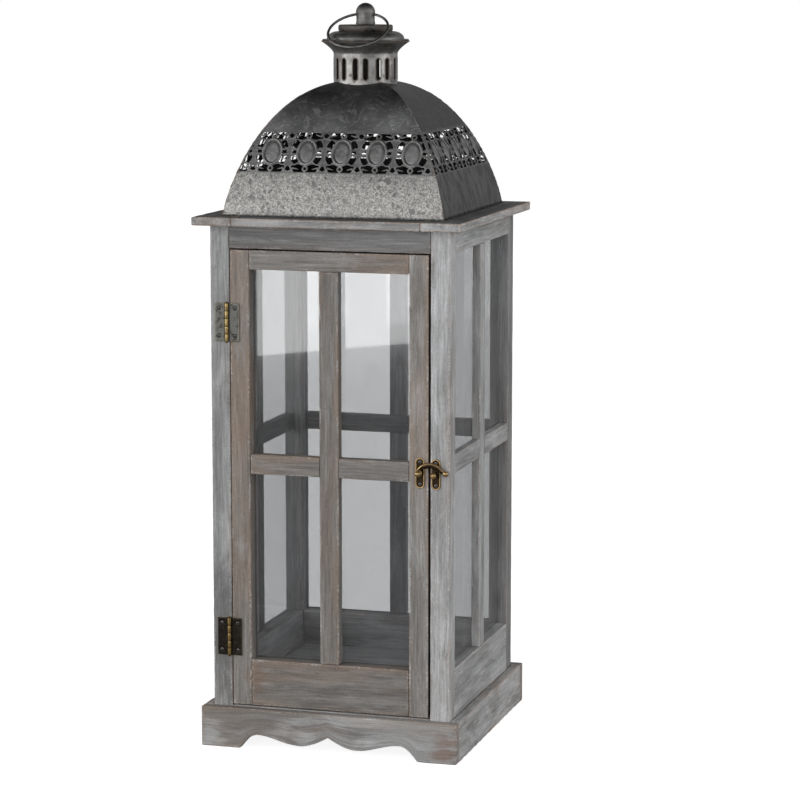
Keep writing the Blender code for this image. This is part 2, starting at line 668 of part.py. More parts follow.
def finial_and_ring():
    """The bullet-shaped knob with its cross hole, and the carrying ring that hangs in it."""
    foot = CAP_TOP + GAP
    dome = arc((0.0, FINIAL_TOP - FINIAL_R), FINIAL_R, 0.0, 90.0, 8)
    waist = FINIAL_R * 0.96
    profile = [(0.0, foot), (FINIAL_R, foot), (waist, foot + 0.3 * (dome[0][1] - foot))]
    profile += dome[:-1] + [(0.0, FINIAL_TOP)]
    knob = add("finial", turned(profile, 32), "vent_metal")
    bore = hidden_cutter("finial_bore", rod(FINIAL_HOLE_R, -2 * FINIAL_R, 2 * FINIAL_R, "X", 20), RING_HINGE)
    boolean(knob, bore, "DIFFERENCE")
    smooth(knob)
    made = bmesh.new()
    sides, around = 8, 56
    rings = []
    for step in range(around):
        turn = 2 * math.pi * step / around
        out = Vector((math.sin(turn), math.cos(turn), 0.0))
        centre = out * RING_R - Vector((0.0, RING_R, 0.0))
        ring = []
        for side in range(sides):
            tilt = 2 * math.pi * side / sides
            away = out * math.cos(tilt) + Vector((0.0, 0.0, math.sin(tilt)))
            ring.append(made.verts.new(centre + RING_WIRE_R * away))
        rings.append(ring)
    for ring, after in zip(rings, rings[1:] + rings[:1]):
        for side in range(sides):
            following = (side + 1) % sides
            made.faces.new((ring[side], after[side], after[following], ring[following]))
    bmesh.ops.rotate(made, verts=made.verts, matrix=Matrix.Rotation(RING_TILT, 3, "X"))
    smooth(add("carrying_ring", made, "vent_metal", RING_HINGE))


clear_scene()
MATERIALS = make_finishes()
ROOF_CUTTER = hidden_cutter("roof_opening", rod(ROOF_HOLE_R, *ROOF_HOLE_Z, "Z", ROUND))
DOOR_HINGE = pivot_empty("door_hinge", (HINGE_X, HINGE_Y, (DOOR_BOTTOM + DOOR_TOP) / 2))
plinth()
posts_and_floor()
window_walls()
top_frame()
door(DOOR_HINGE)
hinges(DOOR_HINGE)
latch(DOOR_HINGE)
for face_name, face_turns in (("front", 0), ("right", 1), ("back", 2), ("left", 3)):
    roof_panel(f"roof_panel_{face_name}", face_turns)
collar()
cap()
finial_and_ring()
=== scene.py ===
"""Candle lantern: limed timber case, glazed door, scalloped plinth and a pierced, galvanised roof.

Every length is in metres, +Z is up, the door faces -Y and the right-hand side is +X. The timber, sheet
metal and brass are new surfaces laid over the fixed frame; the panes keep the frame's own bodies.
"""

import json
import math

import bmesh
import bpy
import numpy as np
from bpy.props import FloatProperty, FloatVectorProperty, IntProperty, PointerProperty
from bpy.types import Operator, Panel, PropertyGroup
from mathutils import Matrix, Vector


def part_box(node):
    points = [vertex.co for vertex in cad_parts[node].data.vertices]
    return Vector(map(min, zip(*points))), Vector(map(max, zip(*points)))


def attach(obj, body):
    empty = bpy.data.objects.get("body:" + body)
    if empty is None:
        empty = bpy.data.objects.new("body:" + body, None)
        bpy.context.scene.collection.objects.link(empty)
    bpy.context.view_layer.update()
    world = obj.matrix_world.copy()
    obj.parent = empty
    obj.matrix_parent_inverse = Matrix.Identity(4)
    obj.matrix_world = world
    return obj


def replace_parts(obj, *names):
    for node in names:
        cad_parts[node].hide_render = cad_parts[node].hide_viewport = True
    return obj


bl_info = {
    "name": "Candle Lantern",
    "version": (1, 0, 0),
    "blender": (4, 5, 0),
    "location": "3D View > Sidebar > Lantern",
    "description": "Builds the timber, sheet metal, glass and brass of a square candle lantern",
    "category": "Object",
}

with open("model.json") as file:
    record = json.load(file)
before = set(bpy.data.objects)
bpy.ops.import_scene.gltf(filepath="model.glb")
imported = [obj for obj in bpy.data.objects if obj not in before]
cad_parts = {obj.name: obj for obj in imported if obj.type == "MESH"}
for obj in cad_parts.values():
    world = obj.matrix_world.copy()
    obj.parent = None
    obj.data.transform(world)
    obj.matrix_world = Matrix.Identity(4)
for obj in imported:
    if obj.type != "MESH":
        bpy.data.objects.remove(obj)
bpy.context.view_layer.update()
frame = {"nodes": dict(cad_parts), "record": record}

MM = 0.001
TAU = 2 * math.pi

# Roof sheet: half-width and height at the four control points of its curve, eaves to crown.
ROOF_CURVE = np.array([[0.1054, 0.5020], [0.1036, 0.5186], [0.0785, 0.6130], [0.0180, 0.6204]])
ROOF_FOOT = (0.1066, 0.4999)
BAND_LOW, BAND_HIGH = 39.9 * MM, 78.9 * MM  # the pierced band, up the slope from the eaves
OVAL_PITCH = 33.5 * MM
OVAL_SHIFT = 3.8 * MM
OVAL_HALF = (10.2, 13.2)  # half-width and half-height of an oval, in mm

# Heights between which the roof's finish changes: off the dull eaves, into the dull edge under the band,
# into the band, into the dark crown of patina and painted shade, and to the darkest metal below the vent,
# where the painted shade is deepest.
EAVES_MARGIN, BAND_MARGIN, BAND_START = (0.5015, 0.5040), (0.5280, 0.5385), (0.5385, 0.5400)
CROWN_START, CROWN_DARKENS = (0.5745, 0.5785), (0.585, 0.618)

# Vent: radii and heights.
COLLAR_R, COLLAR_FOOT, FLARE_Z, RIM_R, RIM_Z = 0.0301, 0.6125, 0.6460, 0.0417, 0.6572
SLOT_HALF, SLOT_LOW, SLOT_HIGH = 0.0022, 0.6219, 0.6418
SLOT_FIRST, SLOT_PITCH, SLOT_PAIR_HALF = math.radians(7.5), math.radians(42.2), math.radians(9.4)
TAB_TURNS = (-73.0, 39.0, 76.0, 151.0, -139.0)  # degrees round from -Y towards +X
FLARE_STARTS, FLARE_ENDS, CAP_STARTS = (0.647, 0.652), (0.6570, 0.6576), (0.6575, 0.6585)

LEDGE_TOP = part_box("slab_front")[1][2]  # top of the frame boards, painted with shade where the roof stands on them
FRAME_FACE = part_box("post_front_left")[0][1]  # the Y of the case's front face

# Joints of the door and hook, where their pins stand.
HINGE_AT = (-0.0985, -0.1172)
PIVOT = (0.0862, 0.2698)
KEEPER = (0.1008, 0.2687)
RING_TILT, RING_R, RING_HOLE = math.radians(32.0), 0.0283, 0.6829

# Hinge leaf: its outer edge, and its screws out from the pin and up from the middle. Latch: its pins up from
# each plate's middle, the middle of the hook out from the case, and the thumb ball from the pivot.
LEAF_OUT, SCREW_OUT, SCREW_UP = 11.8 * MM, 7.8 * MM, 12.9 * MM
LATCH_PIN_UP, HOOK_OUT, THUMB = 10.4 * MM, 2.9 * MM, (25.2 * MM, 0.5 * MM)

# Camera: focal length in mm, place, and degrees that it looks down and is turned.
FOCAL, CAMERA_AT, CAMERA_DIP, CAMERA_TURN = 128.77, (0.79704, -2.58543, 0.72719), 8.63, 16.45
# Lamps: name, place, the point each faces, width and height, watts.
LAMPS = (
    ("side_lamp", (2.4, 0.1, 0.7), (0.0, 0.0, 0.36), (1.6, 1.6), 11.0),
    ("left_lamp", (-2.2, -1.2, 0.8), (0.0, 0.0, 0.36), (1.2, 1.4), 14.0),
    ("front_card", (-0.865, -2.80, 0.23), (-0.105, -2.15, 0.23), (1.7, 0.46), 14.5),
)
FLOOR_REACH = 6.0

SIDES = ("front", "right", "back", "left")


# ---- surfaces --------------------------------------------------------------------------------------------
def piece(name, points, faces, body, finish, traits=None, crease=40.0):
    """Puts points and faces into a new object that rides on a body.

    Faces is a list of arrays, each with three or four corners to a row. Traits are one number, or three, at
    each point, kept for the finish to read. Edges sharper than the crease angle, in degrees, stay crisp.
    """
    mesh = bpy.data.meshes.new(name)
    corners = np.concatenate([block.ravel() for block in faces]).astype(np.int32)
    sizes = np.concatenate([np.full(len(block), block.shape[1]) for block in faces])
    mesh.vertices.add(len(points))
    mesh.vertices.foreach_set("co", np.asarray(points, np.float32).ravel())
    mesh.loops.add(len(corners))
    mesh.loops.foreach_set("vertex_index", corners)
    mesh.polygons.add(len(sizes))
    mesh.polygons.foreach_set("loop_start", (np.cumsum(sizes) - sizes).astype(np.int32))
    for trait, values in (traits or {}).items():
        kind, key = ("FLOAT_VECTOR", "vector") if np.ndim(values) == 2 else ("FLOAT", "value")
        layer = mesh.attributes.new(trait, kind, "POINT")
        layer.data.foreach_set(key, np.asarray(values, np.float32).ravel())
    mesh.update(calc_edges=True)
    mesh.validate()
    mesh.shade_smooth()
    mesh.set_sharp_from_angle(angle=math.radians(crease))
    mesh.materials.append(finish)
    item = bpy.data.objects.new(name, mesh)
    bpy.context.scene.collection.objects.link(item)
    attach(item, body)
    return item


def grid_quads(number):
    """Quads between neighbours in a 2-D array of point numbers, turning from its first axis to its second."""
    quads = np.stack([number[:-1, :-1], number[1:, :-1], number[1:, 1:], number[:-1, 1:]], axis=-1)
    return quads.reshape(-1, 4)


def ripple(along, seed, low=50.0, high=420.0):
    """A slow wander between about -1 and 1: a third of the sum of six sine waves that the seed picks."""
    chance = np.random.default_rng(seed)
    pitch = chance.uniform(low, high, 6)
    start = chance.uniform(0, TAU, 6)
    return np.sin(np.asarray(along)[..., None] * pitch + start).sum(-1) / 3


def board_lines(low, high, radius, step, extra=()):
    """Grid lines across one dimension of a board: close over each rounded arris, then evenly spaced."""
    rim = np.array([0.0, (1 - math.tan(math.pi / 8)) * radius, radius, radius + 1.3 * MM])
    rim = rim[rim < (high - low) / 2 - 0.2 * MM]
    count = 2 * max(1, math.ceil((high - low - 2 * rim[-1]) / step / 2))
    between = np.linspace(low + rim[-1], high - rim[-1], count + 1)[1:-1]
    return np.unique(np.round(np.concatenate([low + rim, between, high - rim[::-1], extra]), 7))


def box_skin(lines):
    """The closed skin of a box ruled by grid lines along X, Y and Z: each outside grid point, once."""
    shape = tuple(len(axis) for axis in lines)
    outside = np.ones(shape, bool)
    outside[1:-1, 1:-1, 1:-1] = False
    number = np.full(shape, -1)
    number[outside] = np.arange(outside.sum())
    where = np.nonzero(outside)
    points = np.column_stack([axis[index] for axis, index in zip(lines, where)])
    faces = []
    for axis in range(3):
        for end in (0, -1):
            quads = grid_quads(np.take(number, end, axis=axis))
            outward = (end == -1) != (axis == 1)
            faces.append(quads if outward else quads[:, ::-1])
    return points, np.concatenate(faces)


def board(name, body, finish, radius=0.8 * MM, tone_and_shade=0.0, seed=0, wear=0.3 * MM, lap=None, shape=None):
    """A worn board over the frame's node of that name.

    A box skin whose points, where they lie within the radius of an arris, are pulled onto a quarter round
    about the board's core. Along each arris the wood is then worn back by the wear depth times a slow wander.
    Lap names the bar that crosses this one. Shape moves the finished points.
    """
    low, high = (np.array(corner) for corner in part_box(name))
    size = high - low
    order = np.argsort(-size, kind="stable")
    along, _, through = order
    cross = []
    if lap is not None:
        other_low, other_high = (np.array(corner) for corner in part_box(lap))
        edges = (other_low[along] - 0.2 * MM, other_high[along] + 0.2 * MM)
        cross = [edges[0] - 0.15 * MM, *edges, edges[1] + 0.15 * MM]
    steps = np.where(np.arange(3) == along, 4.0 * MM, 5.0 * MM)
    lines = [board_lines(low[i], high[i], radius, steps[i], cross if i == along else ()) for i in range(3)]
    points, quads = box_skin(lines)
    reach = np.sort(np.minimum(points - low, high - points), axis=1)[:, 1]
    core = np.clip(points, low + radius, high - radius)
    away = points - core
    away /= np.maximum(np.linalg.norm(away, axis=1, keepdims=True), 1e-9)
    wander = np.clip(ripple(points[:, along], seed + 7) * 0.8 + 0.35, 0, 1.4)
    bite = np.clip(1 - reach / (2.2 * MM), 0, 1) ** 2 * wander
    grain = points[:, order] + np.random.default_rng(seed).uniform(-2, 2, 3)
    points = core + away * (radius - wear * bite[:, None])
    if lap is not None:
        middle = (low[through] + high[through]) / 2
        sign = np.sign(middle)
        keep_inner = "level" in name
        crossing = (points[:, along] > edges[0] - 0.01 * MM) & (points[:, along] < edges[1] + 0.01 * MM)
        limit = middle - sign * 0.1 * MM if keep_inner else middle + sign * 0.1 * MM
        over = (points[:, through] - limit) * sign > 0
        points[crossing & (over == keep_inner), through] = limit
    if shape is not None:
        points = shape(points, low, high)
    traits = {"grain": grain, "edge": reach, "tone_and_shade": np.full(len(points), tone_and_shade)}
    made = piece(f"{name}_timber", points, [quads], body, finish, traits, 50.0)
    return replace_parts(made, name)


def rounded(profile, count=10):
    """The corners of a profile, with each straight run between them split into even steps."""
    profile = np.asarray(profile, float)
    parts = [np.linspace(a, b, count, endpoint=False) for a, b in zip(profile[:-1], profile[1:])]
    return np.concatenate([*parts, profile[-1:]])


def arc(centre, radius, start, end, count=12):
    """Points on an arc about a centre, from one angle to another in degrees."""
    turn = np.radians(np.linspace(start, end, count))
    return np.column_stack([centre[0] + radius * np.cos(turn), centre[1] + radius * np.sin(turn)])


def lathe(profile, sides, axis="Z", at=(0.0, 0.0, 0.0)):
    """A turned skin: each (radius, height) of a closed-ended profile goes round the axis as a circle.

    Radius 0 at either end closes the skin with a fan about one point. The profile runs from the lowest point
    to the highest, so that faces look outwards.
    """
    profile = np.asarray(profile, float)
    ends = profile[[0, -1]]
    ring = profile[1:-1]
    turn = np.linspace(0, TAU, sides, endpoint=False)
    radius = ring[:, :1]
    height = np.broadcast_to(ring[:, 1:], (len(ring), sides))
    body = np.stack([radius * np.cos(turn), radius * np.sin(turn), height], axis=-1).reshape(-1, 3)
    poles = np.column_stack([np.zeros((2, 2)), ends[:, 1]])
    points = np.concatenate([body, poles])
    number = np.arange(len(ring) * sides).reshape(len(ring), sides)
    number = np.column_stack([number, number[:, 0]])
    quads = grid_quads(number)[:, ::-1]
    first, last = len(body), len(body) + 1
    foot = np.column_stack([number[0, 1:], number[0, :-1], np.full(sides, first)])
    top = np.column_stack([number[-1, :-1], number[-1, 1:], np.full(sides, last)])
    if axis == "-Y":
        points = points[:, [0, 2, 1]] * (1, -1, 1)
    return points + np.asarray(at), [quads, np.concatenate([foot, top])]


def merged(*skins):
    """Several skins as one: points joined end to end, with the face numbers moved on."""
    points, faces, start = [], [], 0
    for skin_points, skin_faces in skins:
        points.append(skin_points)
        faces += [block + start for block in skin_faces]
        start += len(skin_points)
    return np.concatenate(points), faces


def tube(path, radius, sides=10, flat=1.0):
    """A closed tube along a path: circles square to the path, the first and last drawn in to a point.

    Radius is one number or one for each point of the path, and flat squeezes the circles along Y.
    """
    path = np.asarray(path, float)
    ahead = np.gradient(path, axis=0)
    ahead /= np.linalg.norm(ahead, axis=1, keepdims=True)
    guide = np.array([0.0, 1.0, 0.0]) if np.abs(ahead[:, 1]).max() < 0.9 else np.array([0.31, 0.0, 0.95])
    side = np.cross(ahead, guide)
    side /= np.linalg.norm(side, axis=1, keepdims=True)
    up = np.cross(side, ahead)
    turn = np.linspace(0, TAU, sides, endpoint=False)
    radius = np.broadcast_to(radius, len(path))[:, None, None]
    circles = side[:, None] * np.cos(turn)[None, :, None] + up[:, None] * np.sin(turn)[None, :, None] * flat
    body = (path[:, None] + circles * radius).reshape(-1, 3)
    points = np.concatenate([body, path[[0, -1]]])
    number = np.arange(len(body)).reshape(len(path), sides)
    number = np.column_stack([number, number[:, 0]])
    quads = grid_quads(number)
    foot = np.column_stack([number[0, 1:], number[0, :-1], np.full(sides, len(body))])[:, ::-1]
    top = np.column_stack([number[-1, :-1], number[-1, 1:], np.full(sides, len(body) + 1)])[:, ::-1]
    return points, [quads, np.concatenate([foot, top])]


def pierced(across, up, metal, close=False):
    """A flat sheet with holes: grid points and quads where the metal's measure is positive.

    Metal gives each (across, up) its distance to the nearest hole's edge, less than zero inside the hole.
    Quads whose corners average less than zero are dropped, and points on the border of what is left slide
    down the slope of that distance onto the edge itself. Close joins the last column to the first.
    """
    measure = metal(across, up)
    number = np.arange(measure.size).reshape(measure.shape)
    if close:
        number = np.column_stack([number, number[:, 0]])
    quads = grid_quads(number)
    kept = measure.ravel()[quads].mean(1) > 0
    touched = [np.zeros(measure.size, bool) for _ in range(2)]
    touched[0][quads[kept]] = True
    touched[1][quads[~kept]] = True
    border = (touched[0] & touched[1]).reshape(measure.shape)
    small = 0.02 * MM
    slope_a = (metal(across + small, up) - metal(across - small, up)) / (2 * small)
    slope_u = (metal(across, up + small) - metal(across, up - small)) / (2 * small)
    steep = np.maximum(slope_a**2 + slope_u**2, 0.2)
    move = np.clip(measure, -0.6 * MM, 0.6 * MM) * border / steep
    used = np.unique(quads[kept])
    renumber = np.zeros(measure.size, int)
    renumber[used] = np.arange(len(used))
    sheet_across = (across - move * slope_a).ravel()[used]
    sheet_up = (up - move * slope_u).ravel()[used]
    return sheet_across, sheet_up, renumber[quads[kept]]


def thicken(item, depth, inner=None):
    """Gives a sheet its thickness, inwards from the skin, and the inner side a finish of its own."""
    wall = item.modifiers.new("Thickness", "SOLIDIFY")
    if inner is not None:
        item.data.materials.append(inner)
        wall.material_offset = 1
    wall.thickness = depth
    wall.offset = -1.0
    wall.use_even_offset = False
    return item


# ---- finishes --------------------------------------------------------------------------------------------
class Measure:
    """A number that varies over a surface. Arithmetic on it adds Math nodes."""

    def __init__(self, bench, socket):
        self.bench, self.socket = bench, socket

    def _math(self, operation, *terms):
        return self.bench.node("ShaderNodeMath", {"operation": operation}, dict(enumerate(terms)))

    def __add__(self, other):
        return self._math("ADD", self, other)

    def __sub__(self, other):
        return self._math("SUBTRACT", self, other)

    def __rsub__(self, other):
        return self._math("SUBTRACT", other, self)

    def __mul__(self, other):
        return self._math("MULTIPLY", self, other)

    __radd__, __rmul__ = __add__, __mul__

    def size(self):
        return self._math("ABSOLUTE", self)

    def lower(self, other):
        return self._math("MINIMUM", self, other)

    def higher(self, other):
        return self._math("MAXIMUM", self, other)

    def between(self, low, high):
        """0 at low and 1 at high, easing in and out."""
        inputs = {"Value": self, "From Min": low, "From Max": high}
        return self.bench.node("ShaderNodeMapRange", {"interpolation_type": "SMOOTHSTEP"}, inputs)


def opaque(value):
    """Three numbers become a colour with nothing showing through; anything else stays as it is."""
    return (*value, 1.0) if isinstance(value, tuple) and len(value) == 3 else value


class Bench:
    """Where a finish is mixed: a node tree, and the few kinds of node that every finish here is made from."""

    def __init__(self, owner):
        owner.use_nodes = True
        self.tree = owner.node_tree
        self.tree.nodes.clear()

    def node(self, kind, settings=None, inputs=None, output=0):
        """Adds a node: its settings first, then its sockets."""
        made = self.tree.nodes.new(kind)
        for key, value in (settings or {}).items():
            setattr(made, key, value)
        for key, value in (inputs or {}).items():
            if isinstance(value, Measure):
                self.tree.links.new(value.socket, made.inputs[key])
            else:
                made.inputs[key].default_value = value
        return Measure(self, made.outputs[output])

    def place(self):
        """Object coordinates, in metres."""
        return self.node("ShaderNodeTexCoord", output="Object")

    def trait(self, name, output="Fac"):
        """A number, or with output Vector three of them, kept at each point of the piece."""
        return self.node("ShaderNodeAttribute", {"attribute_name": name}, output=output)

    def part(self, vector, axis):
        """One of a vector's three numbers."""
        return self.node("ShaderNodeSeparateXYZ", None, {0: vector}, output=axis)

    def scaled(self, vector, factors):
        """A vector with each of its numbers multiplied."""
        return self.node("ShaderNodeVectorMath", {"operation": "MULTIPLY"}, {0: vector, 1: factors})

    def shifted(self, vector, other):
        """The sum of two vectors."""
        return self.node("ShaderNodeVectorMath", {"operation": "ADD"}, {0: vector, 1: other})

    def distance(self, vector, point):
        """How far a place is from a point."""
        settings = {"operation": "DISTANCE"}
        return self.node("ShaderNodeVectorMath", settings, {0: vector, 1: point}, output="Value")

    def cloud(self, vector, scale=1.0, detail=3.0, rough=0.55, warp=0.0, output="Fac"):
        """Soft random patches, about 0.5 on average."""
        inputs = {"Vector": vector, "Scale": scale, "Detail": detail, "Roughness": rough, "Distortion": warp}
        return self.node("ShaderNodeTexNoise", None, inputs, output=output)

    def flakes(self, vector, scale, output="Color"):
        """Cells about one over the scale across, each with its own colour."""
        return self.node("ShaderNodeTexVoronoi", None, {"Vector": vector, "Scale": scale}, output=output)

    def mix(self, share, one, two):
        """A colour between two colours."""
        inputs = {0: share, 6: opaque(one), 7: opaque(two)}
        return self.node("ShaderNodeMix", {"data_type": "RGBA"}, inputs, output=2)

    def dimmed(self, colour, share):
        """A colour multiplied by a grey number."""
        grey = self.node("ShaderNodeCombineXYZ", None, {0: share, 1: share, 2: share})
        return self.node("ShaderNodeVectorMath", {"operation": "MULTIPLY"}, {0: colour, 1: grey})

    def bumps(self, height, depth, strength=1.0):
        """A Normal that follows a height between 0 and 1, as deep as given in metres."""
        inputs = {"Height": height, "Distance": depth, "Strength": strength}
        return self.node("ShaderNodeBump", None, inputs)

    def surface(self, **sockets):
        """The Principled shader and the output, given the shader's sockets with _ for a space."""
        inputs = {key.replace("_", " "): opaque(value) for key, value in sockets.items()}
        self.finish(self.node("ShaderNodeBsdfPrincipled", None, inputs))

    def finish(self, shader, kind="ShaderNodeOutputMaterial"):
        """Joins a shader to the tree's output."""
        made = self.tree.nodes.new(kind)
        self.tree.links.new(shader.socket, made.inputs["Surface"])


def grey(level, warmth=0.0):
    """A grey with its red raised and its blue lowered by the warmth's share."""
    return (level * (1 + warmth), level, level * (1 - warmth))


def timber_finish(name, look):
    """Limed, weathered softwood.

    Growth figure and fibres are soft patches stretched along each board and bent by a slower drift. Over them
    lie lime left in patches, open pores, bare brown wood along worn arrises, and a few stains. Painted shade
    darkens the boards' tops where the roof stands, the narrow sides that the look names, and the header.
    """
    material = bpy.data.materials.new(name)
    bench = Bench(material)
    grain = bench.trait("grain", "Vector")
    place = bench.place()
    edge = bench.trait("edge")
    tone_and_shade = bench.trait("tone_and_shade")
    drift = (bench.cloud(bench.scaled(grain, (7.0, 30.0, 30.0)), detail=2.0) - 0.5) * 0.010
    lean = bench.node("ShaderNodeCombineXYZ", None, {1: drift, 2: drift})
    bent = bench.shifted(grain, lean)
    figure = bench.cloud(bench.scaled(bent, (7.0, 120.0, 120.0)), detail=4.0, rough=0.62)
    fibres = bench.cloud(bench.scaled(bent, (26.0, 640.0, 640.0)), detail=5.0, rough=0.70)
    pores = bench.cloud(bench.scaled(bent, (40.0, 1500.0, 1500.0)), detail=2.0).between(0.58, 0.72)
    nicks = bench.cloud(bench.scaled(bent, (75.0, 620.0, 620.0)), detail=2.0).between(0.68, 0.74)
    patches = bench.cloud(bench.scaled(grain, (16.0, 44.0, 44.0)), detail=6.0, rough=0.66, warp=0.6)
    blotches = bench.cloud(bench.scaled(grain, (22.0, 60.0, 60.0)), detail=5.0, rough=0.62, warp=0.3)
    hue = bench.cloud(bench.scaled(grain, (7.0, 40.0, 40.0)), detail=4.0, rough=0.6)
    speckle = bench.cloud(place, scale=900.0, detail=3.0, rough=0.65)
    colour = bench.mix(figure.between(0.36, 0.64), look["dark"], look["mid"])
    colour = bench.mix(fibres.between(0.45, 0.70) * 0.40, colour, look["light"])
    colour = bench.mix(blotches.between(0.50, 0.66) * 0.34, colour, look["dark"])
    colour = bench.mix(hue.between(0.48, 0.64) * look["brown_share"], colour, look["brown"])
    lime = (patches + tone_and_shade * 0.08).between(0.48, 0.66) * (fibres.between(0.22, 0.55) * 0.4 + 0.6)
    colour = bench.mix(lime * look["lime_share"], colour, look["lime"])
    colour = bench.mix((pores * 0.45).higher(nicks * 0.70), colour, look["pore"])
    for centre, radius, stain, share in look["stains"]:
        frayed = bench.distance(place, centre) + (patches - 0.5) * radius * 2.4
        near = 1 - frayed.between(radius * 0.30, radius)
        colour = bench.mix(near * share, colour, stain)
    ragged = bench.cloud(bench.scaled(grain, (45.0, 170.0, 170.0)), detail=4.0, rough=0.7)
    rubbed = (1 - edge.between(0.0008, 0.0060)) * hue.between(0.40, 0.60)
    colour = bench.mix(rubbed * look["rubbed_share"], colour, look["brown"])
    bare = 1 - (edge + (ragged - 0.5) * 0.0012).between(0.0003, 0.0011)
    bare = bare * (ragged + look["worn_bias"]).between(0.44, 0.58)
    colour = bench.mix(bare * look["worn_share"], colour, look["worn"])
    chips = (1 - edge.between(0.0006, 0.0026)) * (speckle * ragged).between(0.285, 0.325)
    colour = bench.mix(chips * look["chip_share"], colour, grey(0.62))
    # Painted shade along the top edge of the boards, where the roof stands on them.
    roof_contact_shade = bench.part(place, 2).between(LEDGE_TOP - 0.3 * MM, LEDGE_TOP)
    rim = sum(bench.part(place, axis).between(start, full) for axis, start, full in look["rims"])
    rim = bench.node("ShaderNodeMath", {"operation": "MINIMUM"}, {0: rim, 1: 1.0})
    # Each board's tone lightens or darkens it; on the header it is painted shade.
    shade = (1 - roof_contact_shade * 0.62) * (speckle * 0.34 + 0.83) * (tone_and_shade * 0.20 + 1)
    veins = (fibres - 0.5) * 1.00 + (figure - 0.5) * 0.30 + (speckle - 0.5) * 0.30 + 1
    colour = bench.dimmed(colour, shade * veins * (1 - rim * 0.85))
    height = fibres * 0.55 + figure * 0.45 - pores * 0.35 - bare * 0.2 + speckle * 0.15
    rough = 0.62 + patches * 0.22 + pores * 0.1
    normal = bench.bumps(height, 0.0007, 0.55)
    bench.surface(Base_Color=colour, Roughness=rough, Specular_IOR_Level=0.32, Normal=normal)
    return material


def look(sizes, dark, mid, light, **changes):
    """One timber's colours and shares, with what its boards have in common."""
    base = {
        "dark": dark, "mid": mid, "light": light, "brown": (0.315, 0.240, 0.190), "pore": grey(0.12, 0.08),
        "lime": tuple(sizes.lime), "worn": tuple(sizes.bare_wood), "worn_share": 0.6, "worn_bias": 0.0,
        "rubbed_share": 0.35, "chip_share": 0.70, "stains": (), "rims": (),
    }
    return {**base, **changes}


